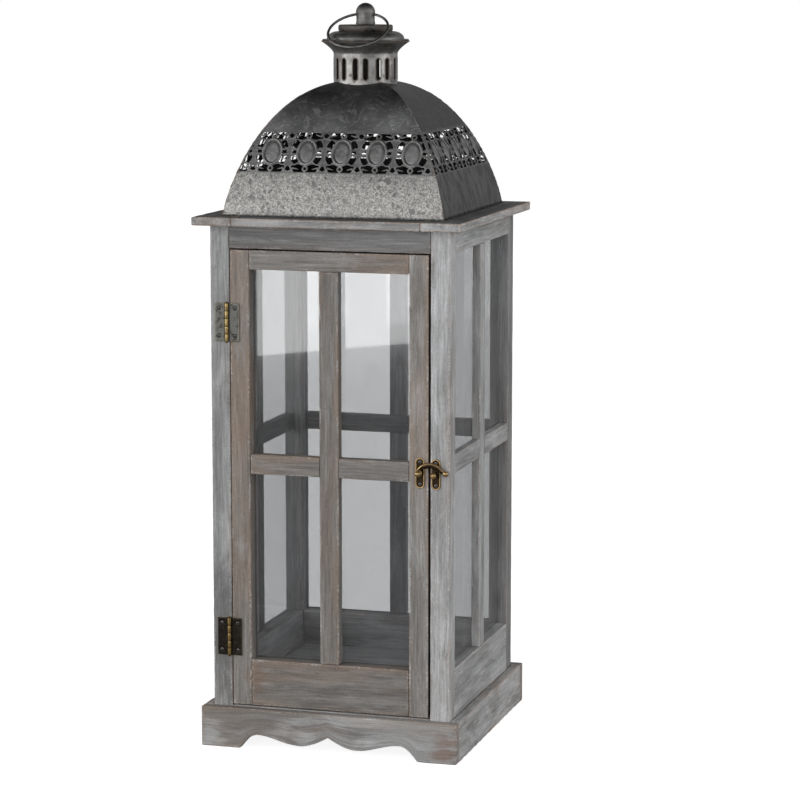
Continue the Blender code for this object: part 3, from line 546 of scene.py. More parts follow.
def roof_finish(sizes):
    """Galvanised sheet: pale grit and flakes below the pierced band, dark metal above it, rusty hips.

    The grit is fine soft speckle. Over it lie round-cornered flakes, where the distance to the middle of a
    cell is short and the cell's own colour picks it. Height on the object moves the sheet from grit to dark
    patina and painted shade. The trait raised lightens the pressed rims as a painted highlight, the trait
    that marks the side sheets darkens a whole sheet as painted shade, and closeness to a corner line brings
    the rust.
    """
    material = bpy.data.materials.new("galvanised_sheet")
    bench = Bench(material)
    place = bench.place()
    height = bench.part(place, 2)
    raised = bench.trait("raised")
    side_shade = bench.trait("side_shade")
    warp = bench.cloud(place, scale=150.0, detail=4.0, output="Color")
    moved = bench.shifted(place, bench.scaled(warp, (0.007, 0.007, 0.007)))
    soft = bench.cloud(place, scale=28.0, detail=5.0, rough=0.6)
    middling = bench.cloud(place, scale=120.0, detail=4.0, rough=0.65)
    fine = bench.cloud(place, scale=620.0, detail=4.0, rough=0.72, warp=0.8)
    skirt = bench.mix(fine.between(0.40, 0.62), tuple(sizes.zinc_dark), tuple(sizes.zinc_light))
    skirt = bench.mix(middling.between(0.42, 0.66) * 0.30, skirt, grey(0.235, 0.02))
    flakes = 0.0
    for scale, rim, chosen in ((125.0, 0.36, 0.74), (210.0, 0.42, 0.66)):
        near = bench.flakes(moved, scale, output="Distance")
        picked = bench.part(bench.flakes(moved, scale), 0).between(chosen, chosen + 0.03)
        flakes = (1 - near.between(rim - 0.08, rim)) * picked + flakes
    flakes = flakes.lower(1.0) * soft.between(0.38, 0.58)
    skirt = bench.mix(flakes * 0.85, skirt, grey(0.175, 0.02))
    margin = (1 - height.between(*EAVES_MARGIN)) + height.between(*BAND_MARGIN)
    skirt = bench.mix((margin * middling.between(0.34, 0.60) * 0.26).lower(1.0), skirt, grey(0.12, 0.02))
    runs = bench.cloud(bench.scaled(place, (190.0, 190.0, 16.0)), detail=4.0, rough=0.6)
    # Painted shade: darker, streaky skirt colours for the side sheets.
    shaded_skirt = bench.mix(runs.between(0.40, 0.60), grey(0.018), grey(0.090))
    shaded_skirt = bench.mix(fine.between(0.52, 0.70) * 0.30, shaded_skirt, grey(0.150))
    skirt = bench.mix(side_shade * 0.93, skirt, shaded_skirt)
    curl = bench.cloud(place, scale=42.0, detail=3.0, output="Color")
    swirl = bench.shifted(place, bench.scaled(curl, (0.03, 0.03, 0.03)))
    feather = bench.cloud(bench.scaled(swirl, (130.0, 130.0, 230.0)), detail=5.0, rough=0.70, warp=0.9)
    # The crown's darker colours are patina and painted shade.
    crown = bench.mix(soft.between(0.32, 0.68), tuple(sizes.crown_dark), tuple(sizes.crown_light))
    crown = bench.mix(feather.between(0.50, 0.64) * 0.65, crown, grey(0.50, -0.01))
    dull = bench.mix(feather.between(0.46, 0.64), grey(0.006), grey(0.030))
    dull = bench.mix(fine.between(0.50, 0.66) * 0.25, dull, grey(0.060))
    # Painted shade: towards the top, and all over on the side sheets, the crown goes to dull dark metal.
    crown = bench.mix((height.between(*CROWN_DARKENS) * 0.84).higher(side_shade * 0.96), crown, dull)
    aged_and_shaded = (height + (soft - 0.5) * 0.004).between(*CROWN_START)
    colour = bench.mix(aged_and_shaded, skirt, crown)
    band = height.between(*BAND_START) * (1 - aged_and_shaded)
    fretted = bench.mix(middling.between(0.35, 0.65), grey(0.105), grey(0.20))
    colour = bench.mix(band * 0.80, colour, fretted)
    # Painted highlight on the raised rims, pillows and lips.
    colour = bench.mix(raised * (middling.between(0.36, 0.62) * 0.55 + 0.10), colour, grey(0.40))
    corner = (bench.part(place, 0).size() - bench.part(place, 1).size()).size()
    rust = (1 - (corner + (fine - 0.5) * 0.0024).between(0.0002, 0.0013)) * soft.between(0.42, 0.62)
    dots = bench.cloud(place, scale=240.0, detail=4.0, rough=0.7).between(0.72, 0.78)
    rust = (rust * 0.65).higher(dots * 0.75)
    colour = bench.mix(rust, colour, tuple(sizes.rust))
    metal = (0.86 - aged_and_shaded * 0.06) * (1 - rust * 0.85)
    rough = 0.40 + fine * 0.20 + rust * 0.3 - aged_and_shaded * 0.04
    relief = flakes * 0.30 + fine * 0.45 + middling * 0.35 + soft * 0.5 + rust * 0.4
    bench.surface(Base_Color=colour, Metallic=metal, Roughness=rough, Normal=bench.bumps(relief, 0.0006, 0.6))
    return material


def vent_finish(sizes):
    """Dark bronzed sheet with a worn sheen, and brown rust in soft smudges and along cut edges."""
    material = bpy.data.materials.new("bronzed_sheet")
    bench = Bench(material)
    place = bench.place()
    edge = bench.trait("edge")
    soft = bench.cloud(place, scale=70.0, detail=5.0, rough=0.6)
    fine = bench.cloud(place, scale=620.0, detail=3.0)
    brushed = bench.cloud(bench.scaled(place, (60.0, 60.0, 1400.0)), detail=3.0)
    colour = bench.mix(soft.between(0.32, 0.70), tuple(sizes.bronze_dark), tuple(sizes.bronze_light))
    colour = bench.mix(brushed.between(0.5, 0.75) * 0.35, colour, grey(0.34, 0.02))
    rust = (1 - edge.between(0.0002, 0.0016)) * soft.between(0.36, 0.56)
    smudge = (bench.cloud(place, scale=120.0, detail=4.0, rough=0.7) + fine * 0.1).between(0.63, 0.73)
    rust = rust.higher(smudge * 0.8)
    colour = bench.mix(rust * 0.8, colour, tuple(sizes.vent_rust))
    height = bench.part(place, 2)
    # Painted shade on the flare; everything above the collar's rim is half as bright.
    flare_shade = height.between(*FLARE_STARTS) * (1 - height.between(*FLARE_ENDS))
    colour = bench.dimmed(colour, (1 - flare_shade * 0.26) * (1 - height.between(*CAP_STARTS) * 0.50))
    rough = 0.30 + soft * 0.16 + fine * 0.1 + rust * 0.35
    relief = soft * 0.5 + fine * 0.3 + rust * 0.3
    metal = 0.92 - rust * 0.75
    normal = bench.bumps(relief, 0.0003, 0.45)
    bench.surface(Base_Color=colour, Metallic=metal, Roughness=rough, Normal=normal)
    return material


def soot_finish():
    """The unseen side of the sheet metal: dull, dark and smoked."""
    material = bpy.data.materials.new("smoked_sheet")
    bench = Bench(material)
    place = bench.place()
    soft = bench.cloud(place, scale=45.0, detail=5.0, rough=0.6)
    fine = bench.cloud(place, scale=600.0, detail=2.0)
    colour = bench.mix(soft.between(0.35, 0.65), grey(0.018, 0.05), grey(0.050, 0.04))
    normal = bench.bumps(fine, 0.0002, 0.3)
    bench.surface(Base_Color=colour, Metallic=0.3, Roughness=0.6 + fine * 0.2, Normal=normal)
    return material


def brass_finish(name, bright, dull, patina_share):
    """Antique brass: bright where the relief stands up, dark in its hollows, with specks of patina."""
    material = bpy.data.materials.new(name)
    bench = Bench(material)
    place = bench.place()
    relief = bench.trait("relief")
    soft = bench.cloud(place, scale=230.0, detail=4.0, rough=0.6)
    fine = bench.cloud(place, scale=1400.0, detail=3.0)
    shine = (relief + (soft - 0.5) * 0.7).between(0.30, 0.80)
    colour = bench.mix(shine, dull, bright)
    patina = (soft + fine * 0.2).between(0.60, 0.74)
    colour = bench.mix(patina * patina_share, colour, (0.060, 0.045, 0.030))
    metal = 0.95 - patina * 0.4 * patina_share
    rough = 0.26 + (1 - shine) * 0.24 + patina * 0.2 + fine * 0.08
    height = soft * 0.5 + fine * 0.5
    bench.surface(Base_Color=colour, Metallic=metal, Roughness=rough, Normal=bench.bumps(height, 0.0002, 0.5))
    return material


def steel_finish(name, dark, light):
    """Plain steel pins and screws, darkened in the hollows."""
    material = bpy.data.materials.new(name)
    bench = Bench(material)
    place = bench.place()
    relief = bench.trait("relief")
    soft = bench.cloud(place, scale=700.0, detail=3.0)
    colour = bench.mix((relief + (soft - 0.5) * 0.5).between(0.2, 0.8), dark, light)
    normal = bench.bumps(soft, 0.0001, 0.4)
    bench.surface(Base_Color=colour, Metallic=0.9, Roughness=0.32 + soft * 0.2, Normal=normal)
    return material


def pane_finish(sizes):
    """Thin grey float glass with a faint film of dust.

    Its share of reflection rises from the square-on value as the fifth power of one minus the cosine of the
    angle, alike from both sides.
    """
    material = bpy.data.materials.new("float_glass")
    bench = Bench(material)
    place = bench.place()
    film = bench.cloud(place, scale=22.0, detail=5.0, rough=0.6)
    specks = bench.cloud(place, scale=430.0, detail=1.0).between(0.78, 0.84)
    tint = tuple(sizes.pane_tint)
    clear = bench.node("ShaderNodeBsdfTransparent", None, {"Color": opaque(tint)})
    gloss = bench.node("ShaderNodeBsdfGlossy", None, {"Color": opaque(grey(1.0)), "Roughness": 0.02})
    dust = bench.node("ShaderNodeBsdfDiffuse", None, {"Color": opaque((0.72, 0.73, 0.74))})
    away = bench.node("ShaderNodeLayerWeight", None, {"Blend": 0.5}, output="Facing")
    square_on = ((sizes.pane_ior - 1) / (sizes.pane_ior + 1)) ** 2
    bounce = away * away * away * away * away * (1 - square_on) + square_on
    pane = bench.node("ShaderNodeMixShader", None, {0: bounce, 1: clear, 2: gloss})
    share = film.between(0.40, 0.80) * 0.04 + specks * 0.12 + 0.012
    bench.finish(bench.node("ShaderNodeMixShader", None, {0: share, 1: pane, 2: dust}))
    return material


# ---- sizes and colours a user may change -----------------------------------------------------------------
def colour_of(name, description, default):
    """A colour that a user may change."""
    return FloatVectorProperty(
        name=name, description=description, subtype="COLOR", default=default, min=0.0, max=1.0)


def length_of(name, description, default, least, most):
    """A length in metres that a user may change."""
    return FloatProperty(
        name=name, description=description, unit="LENGTH", default=default, min=least, max=most, precision=5)


class LanternSizes(PropertyGroup):
    """The lantern's sizes and colours"""

    lime: colour_of("Lime wash", "Colour of the lime left in the grain", (0.66, 0.665, 0.68))
    bare_wood: colour_of("Bare wood", "Colour of the wood at worn arrises", (0.37, 0.26, 0.185))
    zinc_light: colour_of("Zinc, light", "Brightest grit of the galvanised skirt", (0.61, 0.60, 0.58))
    zinc_dark: colour_of("Zinc, dark", "Darkest grit of the galvanised skirt", (0.215, 0.212, 0.206))
    crown_light: colour_of("Crown, light", "Lighter patches of the aged crown", (0.33, 0.332, 0.336))
    crown_dark: colour_of("Crown, dark", "Darker patches of the aged crown", (0.165, 0.166, 0.169))
    rust: colour_of("Seam rust", "Rust along the hips of the roof", (0.24, 0.115, 0.060))
    bronze_light: colour_of("Vent, light", "Worn patches of the vent", (0.42, 0.415, 0.405))
    bronze_dark: colour_of("Vent, dark", "Dark patches of the vent", (0.155, 0.150, 0.145))
    vent_rust: colour_of("Vent rust", "Rust smudges on the vent", (0.115, 0.070, 0.045))
    pane_tint: colour_of("Pane tint", "Light that one face of a pane lets through", (0.810, 0.814, 0.818))
    pane_ior: FloatProperty(
        name="Pane index", description="Index of refraction that sets the panes' reflection", default=1.46,
        min=1.0, max=2.5)
    sheet: length_of("Sheet thickness", "Thickness of the roof sheet", 0.0005, 0.0002, 0.0012)
    rim_height: length_of("Oval rim height", "How far each oval's rim stands proud", 0.0011, 0.0, 0.002)
    groove: length_of("Oval groove", "Depth of the groove inside each oval's rim", 0.0007, 0.0, 0.002)
    back_web: length_of("Back web", "Metal added round each hole of the back sheet", 0.0007, 0.0, 0.0012)
    columns: IntProperty(
        name="Sheet columns", description="Columns of the grid across one roof sheet", default=380, min=120,
        max=420)
    plinth_arris: length_of("Plinth arris", "Radius of the plinth's rounded edges", 0.0010, 0.0002, 0.003)
    floor_level: FloatProperty(
        name="Floor glow", description="How bright the floor is on its own", default=0.88, min=0.0, max=1.0)


def sizes():
    """The sizes and colours now set in the scene."""
    return bpy.context.scene.lantern_sizes


MADE = {}


def shared(name, maker):
    """A finish that several pieces use, made once."""
    if name not in MADE:
        MADE[name] = maker()
    return MADE[name]


def screw_steel():
    """Steel of the screws and pins."""
    return shared("screw_steel", lambda: steel_finish("screw_steel", grey(0.02), grey(0.16, 0.03)))


def frame_timber():
    """Timber of the case: cool grey, with lime in patches and a dark stain low on the left."""
    stains = (((-0.106, -0.115, 0.115), 0.085, grey(0.17, 0.01), 0.75),)
    given = look(
        sizes(), grey(0.275), grey(0.400, -0.01), grey(0.490, -0.02), brown_share=0.12, lime_share=0.34,
        rubbed_share=0.15, stains=stains)
    return shared("frame_timber", lambda: timber_finish("frame_timber", given))


def ledge_timber():
    """Timber of the top frame: as the case, but rubbed to bare wood along its arrises, with a white patch."""
    stains = (((-0.062, -0.128, 0.497), 0.030, grey(0.60, -0.01), 0.55),)
    given = look(
        sizes(), grey(0.230, 0.01), grey(0.340), grey(0.440, -0.01), brown_share=0.25, lime_share=0.34,
        worn_share=0.85, worn_bias=0.14, stains=stains)
    return shared("ledge_timber", lambda: timber_finish("ledge_timber", given))


def door_rims():
    """The door's four narrow sides, in shadow: for each, its axis and where the dark starts and is full."""
    low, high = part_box("door_stile_left")[0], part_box("door_stile_right")[1]
    return (
        (0, low[0] + 0.5 * MM, low[0]), (0, high[0] - 0.5 * MM, high[0]),
        (2, low[2] + 0.5 * MM, low[2]), (2, high[2] - 0.4 * MM, high[2]),
    )


def door_timber():
    """Timber of the door: browner, with less lime, and a rubbed patch at the foot of the left stile."""
    stains = (
        ((-0.072, -0.115, 0.066), 0.016, (0.26, 0.155, 0.090), 0.45),
        ((-0.092, -0.115, 0.330), 0.060, (0.30, 0.205, 0.145), 0.45),
    )
    given = look(
        sizes(), grey(0.190, 0.07), grey(0.275, 0.05), grey(0.355, 0.02), brown_share=0.50, lime_share=0.20,
        rubbed_share=0.55, worn_bias=0.02, stains=stains, rims=door_rims())
    return shared("door_timber", lambda: timber_finish("door_timber", given))


def plinth_timber():
    """Timber of the plinth: dark, with a white patch on the left foot, and paler and reddish on the right."""
    stains = (
        ((-0.070, -0.125, 0.022), 0.060, grey(0.19, 0.05), 0.50),
        ((-0.119, -0.125, 0.010), 0.014, grey(0.52, -0.01), 0.60),
        ((0.085, -0.125, 0.030), 0.050, grey(0.46), 0.45),
        ((0.112, -0.125, 0.010), 0.018, (0.25, 0.150, 0.110), 0.60),
    )
    given = look(
        sizes(), grey(0.215, 0.03), grey(0.320, 0.02), grey(0.420), brown_share=0.40, lime_share=0.40,
        worn_bias=0.06, stains=stains)
    return shared("plinth_timber", lambda: timber_finish("plinth_timber", given))


# ---- pieces ----------------------------------------------------------------------------------------------
def scallop(x):
    """Height of the apron's lower outline: a cusp in the middle, a lobe, a crest, and a foot at each end.

    A quarter sine falls from the cusp to the lobe, half a cosine rises to the crest, and a quarter cosine
    falls to the ground at the foot.
    """
    x = np.abs(x) / MM
    cusp = 6.2 + 9.9 * (1 - np.sin(np.clip(x / 28.0, 0, 1) * math.pi / 2))
    crest = 6.2 + 7.6 * (1 - np.cos(np.clip((x - 28.0) / 41.5, 0, 1) * math.pi)) / 2
    foot = 13.8 * np.cos(np.clip((x - 69.5) / 17.5, 0, 1) * math.pi / 2)
    return np.select([x < 28.0, x < 69.5, x < 87.0], [cusp, crest, foot], 0.0) * MM


def scalloped(points, low, high):
    """Lifts an apron's lower edge to its scallop and spreads the rows between it and the level top edge."""
    room = (high[2] - scallop(points[:, 0])) / (high[2] - low[2])
    lifted = points.copy()
    lifted[:, 2] = high[2] - (high[2] - points[:, 2]) * room
    return lifted


def deepened(points, low, high):
    """Lowers the floor's underside a little below the sill's top, so that no gap shows under the door."""
    drop = low[2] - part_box("sill_front")[1][2] + 0.4 * MM
    lowered = points.copy()
    lowered[:, 2] -= drop * (high[2] - points[:, 2]) / (high[2] - low[2])
    return lowered


class LANTERN_OT_plinth(Operator):
    """The four plinth boards, the front and back ones scalloped"""

    bl_idname = "lantern.plinth"
    bl_label = "Plinth"

    def execute(self, context):
        timber = plinth_timber()
        radius = sizes().plinth_arris
        for index, side in enumerate(SIDES):
            shape, tone_and_shade = (scalloped, 0.1) if side in ("front", "back") else (None, 1.2)
            board(f"plinth_{side}", "case", timber, radius, tone_and_shade, 20 + index, 0.5 * MM,
                  shape=shape)
        return {"FINISHED"}


def crossing_bar(name):
    """The bar that a glazing bar is lapped with; None for any other board."""
    if name.endswith("_level"):
        return name.replace("level", "upright")
    if name.endswith("_upright"):
        return name.replace("upright", "level")
    return None


class LANTERN_OT_case(Operator):
    """Posts, rails, glazing bars, floor, sill, header and the four boards of the top frame"""

    bl_idname = "lantern.case"
    bl_label = "Timber case"

    def execute(self, context):
        timber = frame_timber()
        names = sorted(name for name in frame["record"]["behaviour"]["bodies"]["case"]
                       if name.startswith(("post_", "floor_", "header_", "sill_", "slab_"))
                       or name.endswith(("_rail", "_level", "_upright")))
        chance = np.random.default_rng(4)
        # header_front's low tone is painted shade under the overhanging top frame.
        tones_and_shade = {
            "header_front": -1.7, "post_front_left": -0.4, "post_front_right": 1.1, "post_back_right": -1.0,
            "post_back_left": -0.6, "slab_front": 0.0, "slab_right": 1.1, "right_bottom_rail": 0.6,
            "right_muntin_upright": 0.6, "right_muntin_level": 0.4, "floor_board": 2.1,
            "back_muntin_level": 2.4, "back_muntin_upright": 2.4,
        }
        for index, name in enumerate(names):
            tone_and_shade = tones_and_shade.get(name, chance.uniform(-0.4, 0.4))
            finish, radius, wear = timber, 0.8 * MM, 0.3 * MM
            if name.startswith("slab_"):
                finish, radius, wear = ledge_timber(), 1.1 * MM, 0.5 * MM
            shape = deepened if name == "floor_board" else None
            board(name, "case", finish, radius, tone_and_shade, 100 + index, wear, crossing_bar(name),
                  shape)
        return {"FINISHED"}


class LANTERN_OT_door(Operator):
    """Stiles, rails and glazing bars of the door"""

    bl_idname = "lantern.door"
    bl_label = "Door"

    def execute(self, context):
        timber = door_timber()
        tones_and_shade = {
            "door_stile_left": -0.2, "door_stile_right": 0.5, "door_rail_top": -0.4, "door_rail_bottom": -0.6,
            "door_muntin_level": -0.6, "door_muntin_upright": -0.5,
        }
        for index, (name, tone_and_shade) in enumerate(tones_and_shade.items()):
            seed = 200 + index
            board(name, "door", timber, 0.7 * MM, tone_and_shade, seed, 0.25 * MM, crossing_bar(name))
        return {"FINISHED"}


class LANTERN_OT_panes(Operator):
    """The four panes, which keep the frame's own bodies"""

    bl_idname = "lantern.panes"
    bl_label = "Panes"

    def execute(self, context):
        glass = pane_finish(sizes())
        for name in ("door_glass", "left_glass", "right_glass", "back_glass"):
            mesh = frame["nodes"][name].data
            mesh.materials.clear()
            mesh.materials.append(glass)
        return {"FINISHED"}


def roof_line():
    """Half-width and height, distance up the slope and outward normal, at close steps from eaves to crown.

    A cubic curve of four control points, with a short straight foot below it.
    """
    t = np.linspace(0, 1, 600)[:, None]
    weights = np.hstack([(1 - t) ** 3, 3 * (1 - t) ** 2 * t, 3 * (1 - t) * t**2, t**3])
    line = np.vstack([ROOF_FOOT, weights @ ROOF_CURVE])
    run = np.concatenate([[0.0], np.cumsum(np.linalg.norm(np.diff(line, axis=0), axis=1))])
    run -= run[1]
    slope = np.gradient(line, axis=0)
    slope /= np.linalg.norm(slope, axis=1, keepdims=True)
    return line, run, np.column_stack([slope[:, 1], -slope[:, 0]])


ROOF_LINE, ROOF_RUN, ROOF_NORMAL = roof_line()


def up_roof(run, values):
    """A column of values along the roof line, read at distances up the slope."""
    return np.interp(run, ROOF_RUN, values)


def ellipse(x, y, half_x, half_y):
    """About how far a point is outside an ellipse."""
    ratio = np.hypot(x / half_x, y / half_y)
    steep = np.hypot(x / half_x**2, y / half_y**2)
    return ratio * (ratio - 1) / np.maximum(steep, 1e-6)


def stroke(x, y, start, end, width_start, width_end):
    """How far a point is outside a straight bar that tapers between two widths and has round ends."""
    along = np.array(end) - np.array(start)
    share = np.clip(((x - start[0]) * along[0] + (y - start[1]) * along[1]) / (along @ along), 0, 1)
    gap = np.hypot(x - start[0] - share * along[0], y - start[1] - share * along[1])
    return gap - (width_start + (width_end - width_start) * share)


def band_places(across, run):
    """Where a point is from the middle of its nearest oval, in mm, folded into one quarter of the pattern."""
    step = (across - OVAL_SHIFT) / OVAL_PITCH
    x = np.abs(step - np.round(step)) * OVAL_PITCH / MM
    y = np.abs(run - (BAND_LOW + BAND_HIGH) / 2) / MM
    return x, y


def fretwork(across, run):
    """How far a point of the roof sheet is from the nearest cut edge; less than zero in a hole.

    One quarter of the repeat holds: kidney holes round the oval with a finger between them, an eyelet above
    it, a three-cornered hole with a leaf barb beside the eyelet, and half of a crown-shaped hole between two
    arms. All of its lengths are in mm.
    """
    x, y = band_places(across, run)
    half_pitch = OVAL_PITCH / MM / 2
    edge_y = (BAND_HIGH - BAND_LOW) / MM / 2
    oval = ellipse(x, y, *OVAL_HALF)
    web = half_pitch - x - (1.7 + 0.065 * (y - 4.5) ** 2 * (y < 12))
    kidney = np.maximum.reduce([-oval, -web, np.hypot(x - 11.4, y - 7.6) - 4.3])
    finger = stroke(x, y, (14.2, 3.3), (11.9, 4.1), 0.85, 0.6)
    middle = np.maximum.reduce([-oval, -web, y - 1.4])
    arm = stroke(x, y, (half_pitch - 0.6, 11.0), (11.4, edge_y + 1.0), 0.95, 0.8)
    eyelet = np.abs(np.hypot(x, y - 16.3) - 2.1) - 0.8
    eye = np.hypot(x, y - 16.3) - 1.3
    barb = stroke(x, y, (12.4, 15.6), (6.6, 17.0), 1.0, 0.3)
    left_of_arm = stroke(x, y, (half_pitch + 2.0, 9.0), (13.0, edge_y + 2.0), 2.0, 2.0)
    corner = np.maximum.reduce([
        0.7 - oval, y - edge_y, 5.6 - np.hypot(x - 11.4, y - 7.6), 0.8 - left_of_arm, x - 12.9, -eyelet, -eye,
        -barb, 12.2 - y])
    crown = np.minimum.reduce([
        np.hypot(half_pitch - x - 2.4, y - 15.6) - 2.1, np.hypot(half_pitch - x, y - 17.0) - 1.7,
        np.maximum(half_pitch - x - 2.6, np.abs(y - 15.8) - 1.9)])
    crown = np.maximum(crown, y - edge_y)
    holes = np.minimum.reduce([np.maximum(kidney, -finger), np.maximum(middle, -finger), corner,
                               np.maximum(crown, -arm), eye])
    half = up_roof(run, ROOF_LINE[:, 0])
    hip = (half - np.abs(across)) / MM
    vent = (np.hypot(across, half) - 30.4 * MM) / MM
    return np.minimum(np.maximum(holes, 1.5 - hip), vent) * MM


def relief(across, run):
    """How far the sheet is pressed out, and how much painted highlight its raised parts get.

    Each oval has a half-round rim, a bell-shaped groove inside it and a low pillow, and each hole has a
    bell-shaped lip.
    """
    x, y = band_places(across, run)
    oval = ellipse(x, y, *OVAL_HALF)
    half = up_roof(run, ROOF_LINE[:, 0])
    hip = np.clip((half - np.abs(across) - 0.5 * MM) / (3 * MM), 0, 1)
    rim = np.sqrt(np.clip(1 - ((oval + 1.35) / 1.35) ** 2, 0, 1))
    groove = np.exp(-(((oval + 3.0) / 0.9) ** 2))
    pillow = np.clip((-oval - 3.0) / 3.5, 0, 1)
    pillow = pillow * pillow * (3 - 2 * pillow)
    lip = np.exp(-((fretwork(across, run) / MM - 0.35) / 0.5) ** 2) * (np.abs(y) < 19.2)
    inside = (oval < 0.2) & (y < 14)
    pressed = np.where(inside, rim * sizes().rim_height - groove * sizes().groove, lip * 0.28 * MM)
    dent = ripple(across * 0.9 + run * 0.5, 31, 20, 130) * ripple(run * 0.8 - across * 0.3, 32, 20, 120)
    # How much painted highlight each part gets: the oval's rim and pillow, and each hole's lip.
    raised = np.where(inside, np.maximum(rim * (oval > -2.0), pillow * 0.7) - groove * 0.3, lip * 0.5)
    return (pressed + dent * 0.35 * MM) * hip, raised * hip


def quarter_turn(points, turns):
    """Points turned about Z by a number of quarter turns."""
    cos, sin = ((1, 0), (0, 1), (-1, 0), (0, -1))[turns]
    x, y, z = points.T
    return np.column_stack([x * cos - y * sin, x * sin + y * cos, z])


class LANTERN_OT_roof(Operator):
    """Four curved, pierced and pressed roof sheets"""

    bl_idname = "lantern.roof"
    bl_label = "Roof sheets"

    def execute(self, context):
        """Each point (across, run) of a pierced sheet stands at the roof line's depth and height for its run,
        moved out along the line's normal by the relief."""
        finish = shared("roof", lambda: roof_finish(sizes()))
        soot = shared("soot", soot_finish)
        rows = np.concatenate([
            np.linspace(ROOF_RUN[0], BAND_LOW - 0.4 * MM, 13, endpoint=False),
            np.linspace(BAND_LOW - 0.4 * MM, BAND_HIGH + 0.4 * MM, 82, endpoint=False),
            np.linspace(BAND_HIGH + 0.4 * MM, ROOF_RUN[-1], 62)])
        columns = np.linspace(-1, 1, sizes().columns)
        run = np.repeat(rows[:, None], len(columns), 1)
        across = columns[None, :] * (up_roof(rows, ROOF_LINE[:, 0]) - 0.25 * MM)[:, None]
        for turns, side in enumerate(SIDES):
            spare = sizes().back_web if side == "back" else 0.0
            flat_across, flat_run, quads = pierced(across, run, lambda x, y: fretwork(x, y) + spare)
            out, raised = relief(flat_across, flat_run)
            depth = up_roof(flat_run, ROOF_LINE[:, 0]) + out * up_roof(flat_run, ROOF_NORMAL[:, 0])
            height = up_roof(flat_run, ROOF_LINE[:, 1]) + out * up_roof(flat_run, ROOF_NORMAL[:, 1])
            points = np.column_stack([flat_across, -depth, height])
            # The right and left sheets are darkened as painted shade.
            side_shade = np.full(len(points), 1.0 if side in ("right", "left") else 0.0)
            points = quarter_turn(points, turns)
            sheet = piece(f"roof_sheet_{side}", points, [quads[:, ::-1]], "case", finish,
                          {"raised": raised, "side_shade": side_shade})
            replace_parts(thicken(sheet, sizes().sheet, soot), f"roof_panel_{side}")
        return {"FINISHED"}


class LANTERN_OT_hips(Operator):
    """The soldered hip seams where two roof sheets meet"""

    bl_idname = "lantern.hips"
    bl_label = "Hip seams"

    def execute(self, context):
        """A thin tube along each corner line of the roof, its radius wandering like a bead of solder."""
        finish = shared("roof", lambda: roof_finish(sizes()))
        run = np.linspace(0.4 * MM, ROOF_RUN[-1] - 32 * MM, 260)
        half, height = up_roof(run, ROOF_LINE[:, 0]), up_roof(run, ROOF_LINE[:, 1])
        for turns, side in enumerate(SIDES):
            radius = (0.45 + 0.15 * ripple(run, 60 + turns, 200, 1500)) * MM
            path = np.column_stack([half, -half, height]) - (0.25 * MM, -0.25 * MM, 0.1 * MM)
            points, faces = tube(quarter_turn(path, turns), radius, 8)
            piece(f"roof_hip_{side}", points, faces, "case", finish)
        return {"FINISHED"}


def collar_radius(height):
    """Radius of the vent collar: upright, with a rolled foot, then flaring as the power 1.5 of the height."""
    share = np.clip((height - FLARE_Z) / (RIM_Z - FLARE_Z), 0, 1)
    foot = np.clip(1 - (height - COLLAR_FOOT) / (2.2 * MM), 0, 1)
    return COLLAR_R + (RIM_R - COLLAR_R) * share**1.5 + 0.9 * MM * foot**2


def slot_edge(around, height):
    """How far a point of the collar is from the nearest slot's edge. Around is measured along the girth."""
    turn = around / COLLAR_R
    best = np.full(np.shape(turn), 1.0)
    for pair in range(8):
        for side in (-1, 1):
            middle = SLOT_FIRST + (pair - 3) * SLOT_PITCH + side * SLOT_PAIR_HALF
            gap = (turn - middle + math.pi) % TAU - math.pi
            reach = np.clip(height, SLOT_LOW + SLOT_HALF, SLOT_HIGH - SLOT_HALF)
            best = np.minimum(best, np.hypot(gap * COLLAR_R, height - reach) - SLOT_HALF)
    return best


